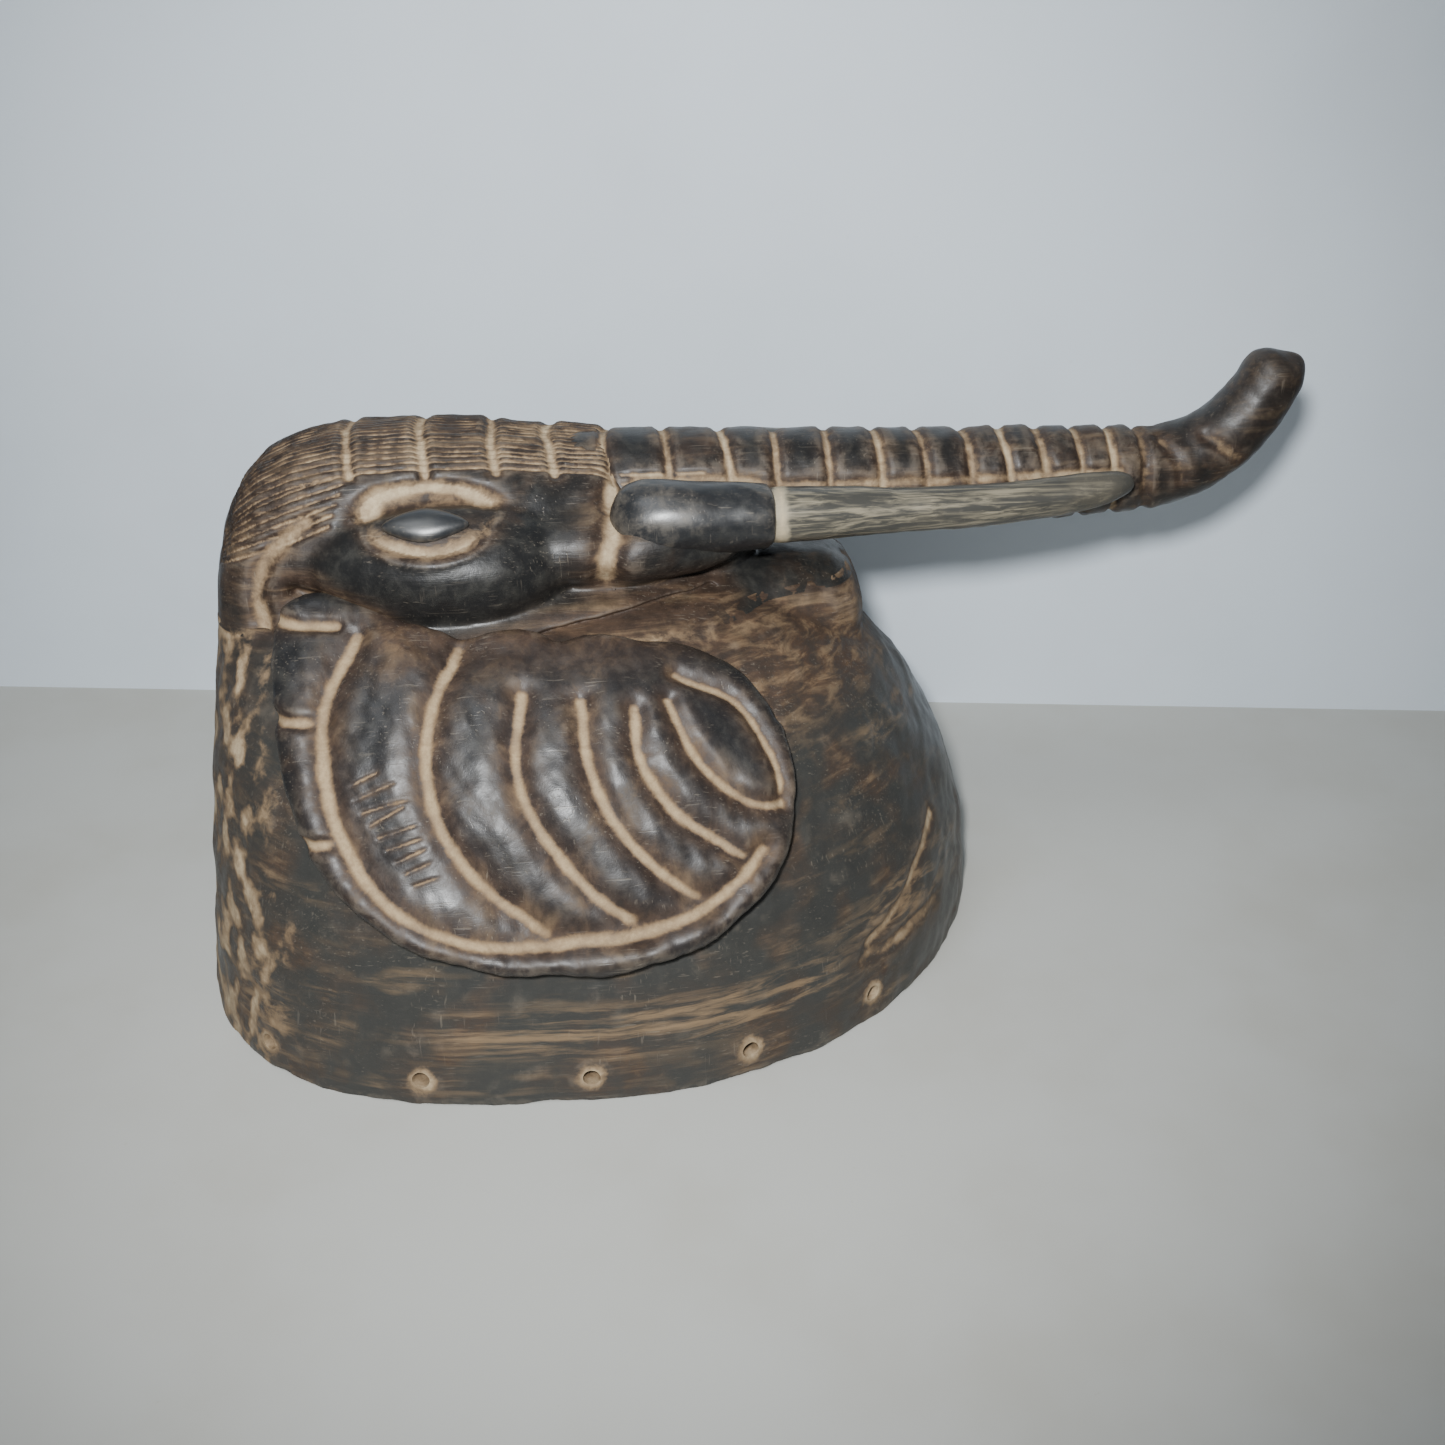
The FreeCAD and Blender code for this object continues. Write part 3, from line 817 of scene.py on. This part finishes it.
def hollow_out(helmet):
    cut_at(helmet, 0, keep_above=True, fill=True)
    hollow = drawn_form("hollow", [egg(height * MM, -WALL, 128) for height in HOLLOW_HEIGHTS])
    apply(helmet, "BOOLEAN", operation="DIFFERENCE", object=hollow, solver="EXACT")
    bpy.data.objects.remove(hollow)
    drills = []
    for side in (-1, 1):
        for angle in HOLE_ANGLES:
            place, way = hole_line(angle, side)
            deselect()
            bpy.ops.mesh.primitive_cylinder_add(
                vertices=40, radius=HOLE_RADIUS, depth=80 * MM, location=place,
                rotation=way.to_track_quat("Z", "Y").to_euler(),
            )
            drills.append(bpy.context.object)
            settle(drills[-1])
    drill = joined("drills", drills)
    apply(helmet, "BOOLEAN", operation="DIFFERENCE", object=drill, solver="EXACT")
    bpy.data.objects.remove(drill)
    return helmet


def carve_helmet(helmet):
    cut_at(helmet, SEAM + 8 * MM, keep_above=False, fill=False)
    carving = Carving(helmet)
    places = carving.places
    inside = (
        (np.abs(places[:, 1]) < HALF_WIDTH * 0.99) & (places[:, 2] < 142 * MM)
        & ((carving.normals[:, :2] * places[:, :2]).sum(1) < 0)
    )
    carving.push(waves(places, 16 * MM, 21) * np.where(inside, 0.7, 0.3) * MM)
    low = np.clip(1 - places[:, 2] / (9 * MM), 0, 1)
    carving.places[:, 2] += low * (waves(places, 60 * MM, 8) * 0.8 + 0.8) * MM
    x, y, z = places.T
    outside = ~inside
    for side in (-1, 1):
        seen = outside & (y * side > 30 * MM)
        carving.mark("rubbed", seen * rise(x, -72, 20) * rise(x, 104, -22)
                     * fade(z - 33 * MM, 11 * MM, 4))
        patch = np.hypot((x - 126 * MM) / (30 * MM), (z - 46 * MM) / (13 * MM))
        carving.mark("rubbed", 0.95 * seen * fade(patch, 1, 4))
        scar = np.hypot((x + 132 * MM) / (11 * MM), (z - 26 * MM) / (18 * MM))
        carving.mark("rubbed", 0.9 * seen * fade(scar, 1, 4))
        press_crease(carving, side)
        carving.gouge([side_line(rough_surface, CRACK, side)], 7, 1.0,
                      clay=0.8, brown=0.8, halo=2.2)
        carving.gouge([side_line(rough_surface, CHIPS, side)], 8, 0.8,
                      clay=0.55, brown=0.8, halo=2.2)
        for angle in HOLE_ANGLES:
            place, way = hole_line(angle, side)
            hole = np.array(rough_surface.ray_cast(place + way * 0.1, -way)[0])
            away = np.linalg.norm(carving.places - hole, axis=1)
            carving.mark("clay", outside * fade(away, 6.5 * MM, 4) * 0.8)
            carving.mark("brown", outside * fade(away, 12 * MM) * 0.8)
    back_band = rise(x, -112, -40)
    carving.mark("brown", outside * back_band * (0.6 + 0.4 * waves(places, 45 * MM, 31)))
    mottled = np.clip(waves(places, 22 * MM, 33) * 0.9 + 0.45, 0, 1)
    carving.mark("clay", outside * np.clip(back_band * 1.6, 0, 1) * 0.8 * mottled)
    worn = np.clip(waves(places * np.array([1, 1, 2.2]), 60 * MM, 37) * 1.5 - 0.35, 0, 1)
    carving.mark("rubbed", outside * 0.55 * worn)
    carving.mark("brown", outside * 0.7 * np.clip(waves(places, 48 * MM, 39) * 1.4 - 0.2, 0, 1))
    jaw = outside * rise(z, 116, 16) * rise(x, 8, 30)
    carving.mark("brown", jaw)
    carving.mark("rubbed", jaw * 0.3)
    carving.mark("brown", inside * 0.8)
    carving.done()
    parted(helmet, SEAM + OVERLAP, keep_above=False)
    return helmet


helmet = carve_helmet(hollow_out(rough))

# ---- trunk, tusks and their sleeves


def spine_form(name, spine, sides):
    """A rounded form along a spine of x, y, z, radius and height share, in millimetres.

    The height share may be left out where the form is as tall as it is wide.
    """
    points = [Vector(p[:3]) * MM for p in spine]
    rings = []
    for number, point in enumerate(points):
        before = points[max(number - 1, 0)]
        after = points[min(number + 1, len(points) - 1)]
        along = (after - before).normalized()
        across = Vector((0, 1, 0))
        across = (across - along * across.dot(along)).normalized()
        up = along.cross(across)
        radius, tall = (*spine[number][3:], 1)[:2]
        radius *= MM
        rings.append([
            point + across * radius * math.cos(turn) + up * radius * tall * math.sin(turn)
            for turn in (2 * math.pi * side / sides for side in range(sides))
        ])
    form = drawn_form(name, rings)
    apply(form, "SUBSURF", levels=2, render_levels=2)
    bpy.ops.object.shade_smooth()
    return form


BEND = 56.0            # radius of the upturn's curve, in millimetres
UPTURN = 70            # how many degrees the trunk's end turns up
STRAIGHT_END = RINGS[-1] / MM
TIP_NUB = np.array([296.5, 0, 236]) * MM
TUSK_BED = [(22, 28), (60, 26), (82, 19), (140, 16), (222, 18)]     # x in mm, turn in degrees
TIP_FOLDS = ([(240, 208), (246, 201), (249, 193)], [(258, 210), (266, 205), (273, 200)])


def trunk_spine():
    axis, root, end = TRUNK_AXIS / MM, TRUNK_ROOT / MM, TRUNK_END / MM
    head_front = HEAD_FRONT / MM
    spine = [(head_front - 22, 0, axis, 12), (head_front - 20, 0, axis, root - 2)]
    for number in range(1, 43):
        x = head_front - 20 + (STRAIGHT_END - head_front + 20) * number / 43
        share = max(x - head_front, 0) / (STRAIGHT_END - head_front)
        spine.append((x, 0, axis, root + (end - root) * share))
    for number in range(15):
        turn = math.radians(UPTURN * number / 14)
        radius = 17.6 - 4.2 * number / 14
        spine.append((
            STRAIGHT_END + BEND * math.sin(turn), 0, axis + BEND * (1 - math.cos(turn)), radius
        ))
    x, z = spine[-1][0], spine[-1][2]
    for ahead, radius in ((3.5, 13.2), (7, 12.2), (9.6, 10.2), (11.6, 7.2), (12.6, 3.2)):
        spine.append((x + ahead * math.cos(turn), 0, z + ahead * math.sin(turn), radius))
    return spine


def trunk_ring(x, wobble):
    """A ring round the trunk, a little out of true."""
    share = (x - HEAD_FRONT) / (RINGS[-1] - HEAD_FRONT)
    radius = TRUNK_ROOT + (TRUNK_END - TRUNK_ROOT) * share
    ring = []
    for number in range(120):
        turn = 2 * math.pi * number / 120
        lean = (wobble[0] * math.cos(turn + wobble[1]) + wobble[2] * math.sin(2 * turn + wobble[3])
                - 2.2 * math.sin(turn))
        ring.append((x + lean * MM, radius * math.cos(turn), TRUNK_AXIS + radius * math.sin(turn)))
    return np.array(ring)


def carve_trunk():
    trunk = spine_form("trunk", trunk_spine(), sides=32)
    carving = Carving(trunk)
    x = carving.places[:, 0]
    places = [HEAD_FRONT] + RINGS
    bellies = np.zeros(len(x))
    for start, end in zip(places, places[1:]):
        share = np.clip((x - start) / (end - start), 0, 1)
        bellies = np.maximum(bellies, np.sin(share * math.pi) ** 0.7)
    swelling = (bellies - 0.5) * 0.6 * MM * (x < RINGS[-1])
    carving.push(swelling + waves(carving.places, 30 * MM, 41) * 0.5 * MM)
    for number, place in enumerate(places):
        wobble = random.uniform(-1.2, 1.2, 4)
        pale = random.uniform(0.55, 0.95) if number < 12 else 0.4
        carving.gouge([trunk_ring(place, wobble)], random.uniform(3.8, 5.4), 1.6,
                      clay=pale, brown=0.9, halo=2.4, filled=0.38)
    hatch = []
    for side in (-1, 1):
        radius = TRUNK_ROOT * 0.985
        for number in range(6):
            turn = math.radians(-8 + 8.5 * number)
            ahead = np.linspace(4, 72 - 7 * number, 60) * MM
            hatch.append(np.stack([
                HEAD_FRONT + ahead, np.full(60, side * radius * math.cos(turn)),
                TRUNK_AXIS + (radius - ahead * TRUNK_TAPER) * math.sin(turn),
            ], 1))
    for side in (-1, 1):
        place, turn = smooth_line(TUSK_BED, 1.0).T
        place, turn = place * MM, np.radians(turn)
        radius = TRUNK_ROOT - (place - HEAD_FRONT) * TRUNK_TAPER
        bed = np.stack([place, side * radius * np.cos(turn), TRUNK_AXIS + radius * np.sin(turn)], 1)
        carving.gouge([bed], 5.5, 0.9, clay=0.62, brown=1.0, halo=2.2)
    tree = surface(trunk)
    for fold in TIP_FOLDS:
        for side in (-1, 1):
            carving.gouge([side_line(tree, fold, side)], 5, 0.9, clay=0.36, brown=0.8)
    carving.gouge(hatch, 2.0, 0.6, clay=0.8, brown=0.5, halo=2.2)
    nub = np.linalg.norm(carving.places - TIP_NUB, axis=1)
    carving.push(2.2 * MM * fade(nub, 5 * MM))
    carving.mark("brown", rise(x, 255, 20) * 0.35)
    carving.done()
    return trunk


SLEEVE_SPINE = [
    (13, -30.6, 192, 3), (13.6, -31.2, 192, 8, 1.05), (16, -32.6, 192.2, 12, 1.08),
    (20, -34.6, 192.6, 14.4, 1.08), (26, -36.6, 193, 15.6, 1.04), (34, -37.6, 193.2, 15.4, 1.02),
    (44, -37.6, 193.2, 14.8), (54, -37.2, 193, 14.1), (63, -36.6, 192.8, 13.5),
    (70, -36, 192.6, 13.1), (73, -35.6, 192.6, 12.4), (74.4, -35.6, 192.5, 10),
    (75, -35.6, 192.5, 5),
]
TUSK_SPINE = [
    (66, -35.5, 192.5, 4), (66.6, -35.5, 192.5, 9.6), (70, -35.5, 192.5, 10.6),
    (78, -35, 192.3, 11.4), (92, -34, 191.9, 10.8), (108, -33.2, 191.6, 9.9),
    (124, -32.4, 191.2, 9.2), (140, -31.6, 190.8, 8.9), (156, -30.6, 190.5, 8.7),
    (172, -29.2, 190.8, 8.5), (188, -27.8, 191.8, 8.2), (202, -26.4, 193, 7.8),
    (212, -25.4, 194.2, 7.1), (219, -24.8, 195.2, 5.8), (223.4, -24.4, 195.9, 3.8),
    (225, -24.3, 196.2, 1.6),
]


def carve_sleeve():
    sleeve = spine_form("right_tusk_sleeve", SLEEVE_SPINE, sides=28)
    carving = Carving(sleeve)
    carving.roughen(24, 0.4, 51)
    carving.done()
    return sleeve


def carve_tusk():
    tusk = spine_form("right_tusk", TUSK_SPINE, sides=24)
    carving = Carving(tusk)
    carving.roughen(22, 0.35, 61)
    x = carving.places[:, 0]
    carving.mark("rubbed", 0.85 * rise(x, 214, -40))
    carving.mark("clay", 0.95 * fade(x - 77 * MM, 2.8 * MM, 4))
    carving.done()
    return tusk


trunk = carve_trunk()
sleeve_right = carve_sleeve()
sleeve_left = mirrored(sleeve_right, "left_tusk_sleeve")
for vertex in sleeve_left.data.vertices:
    # the left sleeve is slimmer and lies lower, clear of the trunk's top
    vertex.co.y = 33.5 * MM + (vertex.co.y - 37.6 * MM) * 0.8
    vertex.co.z = 189.5 * MM + (vertex.co.z - 193 * MM) * 0.8
tusk_right = carve_tusk()
tusk_left = mirrored(tusk_right, "left_tusk")

# ---- finishes


def tone(red, green, blue):
    """A colour as a painter names it, 0 to 255, made linear."""
    made = []
    for part in (red / 255, green / 255, blue / 255):
        made.append(((part + 0.055) / 1.055) ** 2.4 if part > 0.04045 else part / 12.92)
    return (*made, 1.0)


class Nodes:
    """A node tree with short ways to add and join its nodes."""

    def __init__(self, tree):
        self.tree = tree

    def add(self, kind, inputs=None, **settings):
        node = self.tree.nodes.new(kind)
        for name, value in settings.items():
            setattr(node, name, value)
        for name, value in (inputs or {}).items():
            self.feed(node.inputs[name], value)
        return node

    def feed(self, socket, value):
        if isinstance(value, bpy.types.NodeSocket):
            self.tree.links.new(value, socket)
        else:
            socket.default_value = value

    def noise(self, place, scale, detail=4.0, roughness=0.6, distortion=0.0):
        return self.add("ShaderNodeTexNoise", {
            "Vector": place, "Scale": scale, "Detail": detail, "Roughness": roughness,
            "Distortion": distortion,
        }).outputs["Fac"]

    def stretched(self, place, scale, turn=(0.0, 0.0, 0.0)):
        return self.add("ShaderNodeMapping", {
            "Vector": place, "Rotation": turn, "Scale": scale,
        }).outputs["Vector"]

    def ramp(self, value, low, high, start=0.0, end=1.0):
        return self.add("ShaderNodeMapRange", {
            "Value": value, "From Min": low, "From Max": high, "To Min": start, "To Max": end,
        }, interpolation_type="SMOOTHSTEP").outputs["Result"]

    def sum(self, first, second, how="ADD", clamp=False):
        return self.add(
            "ShaderNodeMath", {0: first, 1: second}, operation=how, use_clamp=clamp
        ).outputs["Value"]

    def times(self, first, second, clamp=False):
        return self.sum(first, second, "MULTIPLY", clamp)

    def mix(self, share, first, second):
        return self.add(
            "ShaderNodeMix", {0: share, 6: first, 7: second}, data_type="RGBA"
        ).outputs[2]

    def mark(self, name):
        return self.add("ShaderNodeAttribute", attribute_name=name).outputs["Fac"]


def new_group(name, inputs, outputs):
    group = bpy.data.node_groups.new(name, "ShaderNodeTree")
    for direction, sockets in (("INPUT", inputs), ("OUTPUT", outputs)):
        for socket, kind in sockets.items():
            group.interface.new_socket(
                name=socket, in_out=direction, socket_type="NodeSocket" + kind
            )
    nodes = Nodes(group)
    return nodes, nodes.add("NodeGroupInput").outputs, nodes.add("NodeGroupOutput").inputs


def scratches_group():
    """Fine knife and rubbing lines in two slanting directions."""
    nodes, given, out = new_group(
        "scratches", {"Place": "Vector", "Amount": "Float"}, {"Lines": "Float"}
    )
    total = None
    for turn, scale in (
        ((0.0, 0.5, 0.2), (34, 1150, 1150)), ((0.3, 0.4, 0.0), (900, 900, 30)),
        ((0.0, 0.1, 0.1), (28, 1000, 1000)),
    ):
        place = nodes.stretched(given["Place"], scale, turn)
        line = nodes.ramp(nodes.noise(place, 1.0, 2.0, 0.5), 0.63, 0.72)
        patch = nodes.ramp(nodes.noise(given["Place"], 1.1 * min(scale), 2.0), 0.45, 0.65)
        line = nodes.times(line, patch)
        total = line if total is None else nodes.sum(total, line, "MAXIMUM")
    nodes.feed(out["Lines"], nodes.times(total, given["Amount"], clamp=True))
    return nodes.tree


def patina_group(scratches):
    """Smoked black wood, brown where handled, with pale clay left in its cuts."""
    nodes, given, out = new_group(
        "patina",
        {"Place": "Vector", "Grain": "Vector", "Clay": "Float", "Brown": "Float", "Rubbed": "Float",
         "Ridge": "Float", "Dark": "Color", "Warm": "Color", "Tan": "Color", "Pale": "Color",
         "Wear": "Float"},
        {"Colour": "Color", "Roughness": "Float", "Height": "Float"},
    )
    place = given["Place"]
    broad = nodes.noise(place, 26.0, 5.0, 0.62, 0.4)
    close = nodes.noise(place, 120.0, 6.0, 0.68, 0.3)
    speck = nodes.noise(place, 520.0, 3.0, 0.7)
    streak = nodes.noise(given["Grain"], 1.0, 5.0, 0.66, 0.5)
    dark = nodes.mix(nodes.ramp(close, 0.42, 0.74, 0.0, 0.6), given["Dark"], tone(54, 53, 49))
    dark = nodes.mix(nodes.ramp(speck, 0.52, 0.8, 0.0, 0.14), dark, tone(84, 79, 70))
    # brown comes through round the cuts and in worn patches
    worn = nodes.times(nodes.ramp(broad, 0.5, 0.68), given["Wear"])
    warm = nodes.times(given["Brown"], nodes.ramp(close, 0.3, 0.7, 0.45, 1.1))
    warm = nodes.sum(warm, worn, "MAXIMUM")
    warm = nodes.times(warm, nodes.ramp(streak, 0.35, 0.6, 0.6, 1.0), clamp=True)
    earth = nodes.mix(nodes.ramp(streak, 0.45, 0.75, 0.0, 0.8), given["Warm"], given["Tan"])
    colour = nodes.mix(warm, dark, earth)
    rub = nodes.times(given["Rubbed"], nodes.ramp(streak, 0.43, 0.66), clamp=True)
    colour = nodes.mix(nodes.times(rub, 0.8), colour, given["Tan"])
    edge = nodes.ramp(given["Ridge"], 0.68, 1.0, 0.0, 0.22)
    edge = nodes.times(edge, nodes.ramp(close, 0.4, 0.6))
    colour = nodes.mix(edge, colour, tone(118, 108, 95))
    lines = nodes.add("ShaderNodeGroup", node_tree=scratches)
    nodes.feed(lines.inputs["Place"], place)
    lines.inputs["Amount"].default_value = 0.22
    colour = nodes.mix(lines.outputs["Lines"], colour, tone(138, 128, 113))
    # clay: thick in the beds, thin and broken towards the edges
    thick = nodes.sum(given["Clay"], nodes.ramp(close, 0.25, 0.75, -0.30, 0.16))
    thick = nodes.sum(thick, nodes.ramp(broad, 0.3, 0.7, -0.16, 0.10), clamp=True)
    pale = nodes.mix(nodes.ramp(speck, 0.35, 0.7, 0.0, 0.4), given["Pale"], given["Tan"])
    colour = nodes.mix(nodes.ramp(thick, 0.1, 0.55, 0.0, 0.9), colour, given["Tan"])
    colour = nodes.mix(nodes.ramp(thick, 0.35, 1.0, 0.0, 0.95), colour, pale)
    nodes.feed(out["Colour"], colour)
    dull = nodes.sum(nodes.times(warm, 0.36), nodes.times(thick, 0.42))
    rough = nodes.sum(nodes.ramp(close, 0.3, 0.7, 0.33, 0.43), dull, clamp=True)
    nodes.feed(out["Roughness"], rough)
    height = nodes.times(close, 0.5)
    for pattern, share in ((streak, 0.6), (lines.outputs["Lines"], -0.6), (speck, 0.18)):
        height = nodes.sum(height, nodes.times(pattern, share))
    nodes.feed(out["Height"], height)
    return nodes.tree


def new_finish(name):
    """An empty material, its nodes and the place that its patterns are laid on."""
    material = bpy.data.materials.new(name)
    material.use_nodes = True
    material.node_tree.nodes.clear()
    nodes = Nodes(material.node_tree)
    return material, nodes, nodes.add("ShaderNodeTexCoord").outputs["Object"]


def wood(name, tones, grain, wear, shine, bump=0.25, painted_sheen_grey=None):
    """A carved wood finish in dark, warm, tan and pale tones.

    The grain is how tightly the streaks repeat along each direction. If a further tone is given,
    greys the wood below the head with it, as a painted soft grey sheen.
    """
    material, nodes, place = new_finish(name)
    dark, warm, tan, pale = tones
    coat = nodes.add("ShaderNodeGroup", node_tree=patina)
    given = {
        "Place": place, "Grain": nodes.stretched(place, grain),
        "Dark": dark, "Warm": warm, "Tan": tan, "Pale": pale, "Wear": wear,
    }
    for mark in ("Clay", "Brown", "Rubbed", "Ridge"):
        given[mark] = nodes.mark(mark.lower())
    if painted_sheen_grey:
        # below the head the dark wood is lifted to a painted grey sheen
        height = nodes.add("ShaderNodeSeparateXYZ", {"Vector": place}).outputs["Z"]
        given["Dark"] = nodes.mix(nodes.ramp(height, 0.13, 0.175), painted_sheen_grey, dark)
        given["Wear"] = nodes.ramp(height, 0.13, 0.175, wear * 0.8, wear)
    for socket, value in given.items():
        nodes.feed(coat.inputs[socket], value)
    skin = nodes.add("ShaderNodeBsdfPrincipled", {
        "Base Color": coat.outputs["Colour"], "Roughness": coat.outputs["Roughness"],
        "Specular IOR Level": shine, "IOR": 1.5,
    })
    relief = nodes.add("ShaderNodeBump", {
        "Height": coat.outputs["Height"], "Strength": bump, "Distance": 1.2 * MM,
    })
    nodes.feed(skin.inputs["Normal"], relief.outputs["Normal"])
    finish = nodes.add("ShaderNodeOutputMaterial")
    nodes.feed(finish.inputs["Surface"], skin.outputs["BSDF"])
    return material


patina = patina_group(scratches_group())
BLACK, BROWN = tone(25, 25, 25), tone(66, 47, 33)
TAN, CLAY = tone(124, 103, 78), tone(180, 163, 134)

# the last tone paints a soft grey sheen on the wood below the head
mask_wood = wood("smoked_mask_wood", (BLACK, BROWN, TAN, CLAY), (16, 80, 240),
                 wear=0.36, shine=0.36, bump=0.3, painted_sheen_grey=tone(48, 48, 46))
trunk_wood = wood("smoked_trunk_wood", (BLACK, BROWN, TAN, CLAY), (30, 150, 190),
                  wear=0.5, shine=0.36)
ear_wood = wood("polished_ear_wood",
                (tone(28, 28, 29), BROWN, tone(112, 91, 67), tone(158, 138, 108)), (60, 60, 30),
                wear=0.32, shine=0.4)
tusk_wood = wood("grained_tusk_wood",
                 (tone(60, 59, 55), tone(94, 87, 73), tone(146, 137, 116), CLAY), (15, 520, 520),
                 wear=0.4, shine=0.36)
sleeve_wood = wood("rubbed_sleeve_wood", (tone(26, 27, 29), tone(44, 40, 36), TAN, CLAY),
                   (30, 200, 200), wear=0.15, shine=0.75, bump=0.12)
eye_wood = wood("polished_eye_wood", (tone(28, 30, 33), tone(44, 42, 40), TAN, CLAY),
                (40, 160, 160), wear=0.1, shine=0.9, bump=0.08)


def dress(piece, material, nodes):
    piece.data.materials.clear()
    piece.data.materials.append(material)
    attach(piece, "root")
    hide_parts(*nodes)


dress(head, mask_wood,
      ["skull", "palate", "cheek_right", "cheek_left", "eye_ring_right", "eye_ring_left"])
dress(helmet, mask_wood, ["helmet_shell", "lacing_rim", "lower_jaw"])
dress(trunk, trunk_wood, TRUNK_NODES + ["trunk_upturn", "trunk_tip"])
for side, ear, tusk, sleeve, eyeball in (
    ("right", ear_right, tusk_right, sleeve_right, eyeball_right),
    ("left", ear_left, tusk_left, sleeve_left, eyeball_left),
):
    dress(ear, ear_wood, [f"ear_field_{side}", f"ear_rim_{side}"])
    dress(tusk, tusk_wood, [f"tusk_{side}"])
    dress(sleeve, sleeve_wood, [f"tusk_sleeve_{side}"])
    dress(eyeball, eye_wood, [f"eyeball_{side}"])

# ---- table, wall and light


WALL_BEHIND = 172 * MM      # where the wall's foot crosses the table behind the mask
WALL_TURN = math.radians(-8)
ROOM = 4                    # size of the table and the wall


def plain_paint(name, base, stain, scale, rough, one_sided=False):
    """Old emulsion paint with faint stains and specks; one-sided paint is clear from behind."""
    material, nodes, place = new_finish(name)
    broad = nodes.ramp(nodes.noise(place, scale, 4.0), 0.4, 0.75, 0.0, 0.35)
    speck = nodes.ramp(nodes.noise(place, scale * 30, 2.0), 0.72, 0.8, 0.0, 0.3)
    colour = nodes.mix(broad, base, stain)
    colour = nodes.mix(speck, colour, stain)
    relief = nodes.add("ShaderNodeBump", {
        "Height": nodes.noise(place, scale * 12, 3.0), "Strength": 0.06, "Distance": 1 * MM,
    })
    skin = nodes.add("ShaderNodeBsdfPrincipled", {
        "Base Color": colour, "Roughness": rough, "Specular IOR Level": 0.3,
        "Normal": relief.outputs["Normal"],
    }).outputs["BSDF"]
    if one_sided:
        behind = nodes.add("ShaderNodeNewGeometry").outputs["Backfacing"]
        clear = nodes.add("ShaderNodeBsdfTransparent").outputs["BSDF"]
        skin = nodes.add("ShaderNodeMixShader", {0: behind, 1: skin, 2: clear}).outputs["Shader"]
    finish = nodes.add("ShaderNodeOutputMaterial")
    nodes.feed(finish.inputs["Surface"], skin)
    return material


def board(name, paint, **placing):
    """A flat painted board."""
    deselect()
    bpy.ops.mesh.primitive_plane_add(size=ROOM, **placing)
    made = bpy.context.object
    made.name = name
    made.data.materials.append(paint)
    return made


def set_up_room():
    table_paint = plain_paint("table_paint", tone(178, 178, 173), tone(160, 155, 142), 9.0, 0.55)
    wall_paint = plain_paint("wall_paint", tone(204, 213, 221), tone(186, 194, 200), 5.0, 0.45,
                             one_sided=True)
    board("table_top", table_paint, location=(0, 0, 0))
    board("wall", wall_paint, location=(0, WALL_BEHIND, 0),
              rotation=(math.pi / 2, 0, WALL_TURN))


def lamp(name, kind, place, aim, power, colour, **settings):
    light = bpy.data.lights.new(name, kind)
    light.energy = power
    light.color = colour
    for setting, value in settings.items():
        setattr(light, setting, value)
    hung(name, light, place, aim)


def set_up_light():
    lamp("flash", "SPOT", (-0.07, -0.68, 0.56), (0.02, 0.0, 0.17), 50.0, (0.97, 0.99, 1.0),
         spot_size=math.radians(74), spot_blend=1.0, shadow_soft_size=0.03)
    lamp("ceiling", "AREA", (-0.35, -0.45, 1.5), (0.0, 0.0, 0.1), 5.0, (0.93, 0.97, 1.0),
         shape="DISK", size=0.7)
    lamp("far_window", "AREA", (-0.5, 1.3, 0.9), (0.0, 0.1, 0.1), 9.0, (0.95, 0.98, 1.0),
         shape="DISK", size=0.8)
    world = bpy.data.worlds.new("room")
    world.use_nodes = True
    back = world.node_tree.nodes["Background"]
    back.inputs["Color"].default_value = (0.86, 0.92, 1.0, 1)
    back.inputs["Strength"].default_value = 0.17
    bpy.context.scene.world = world


set_up_room()
set_up_light()
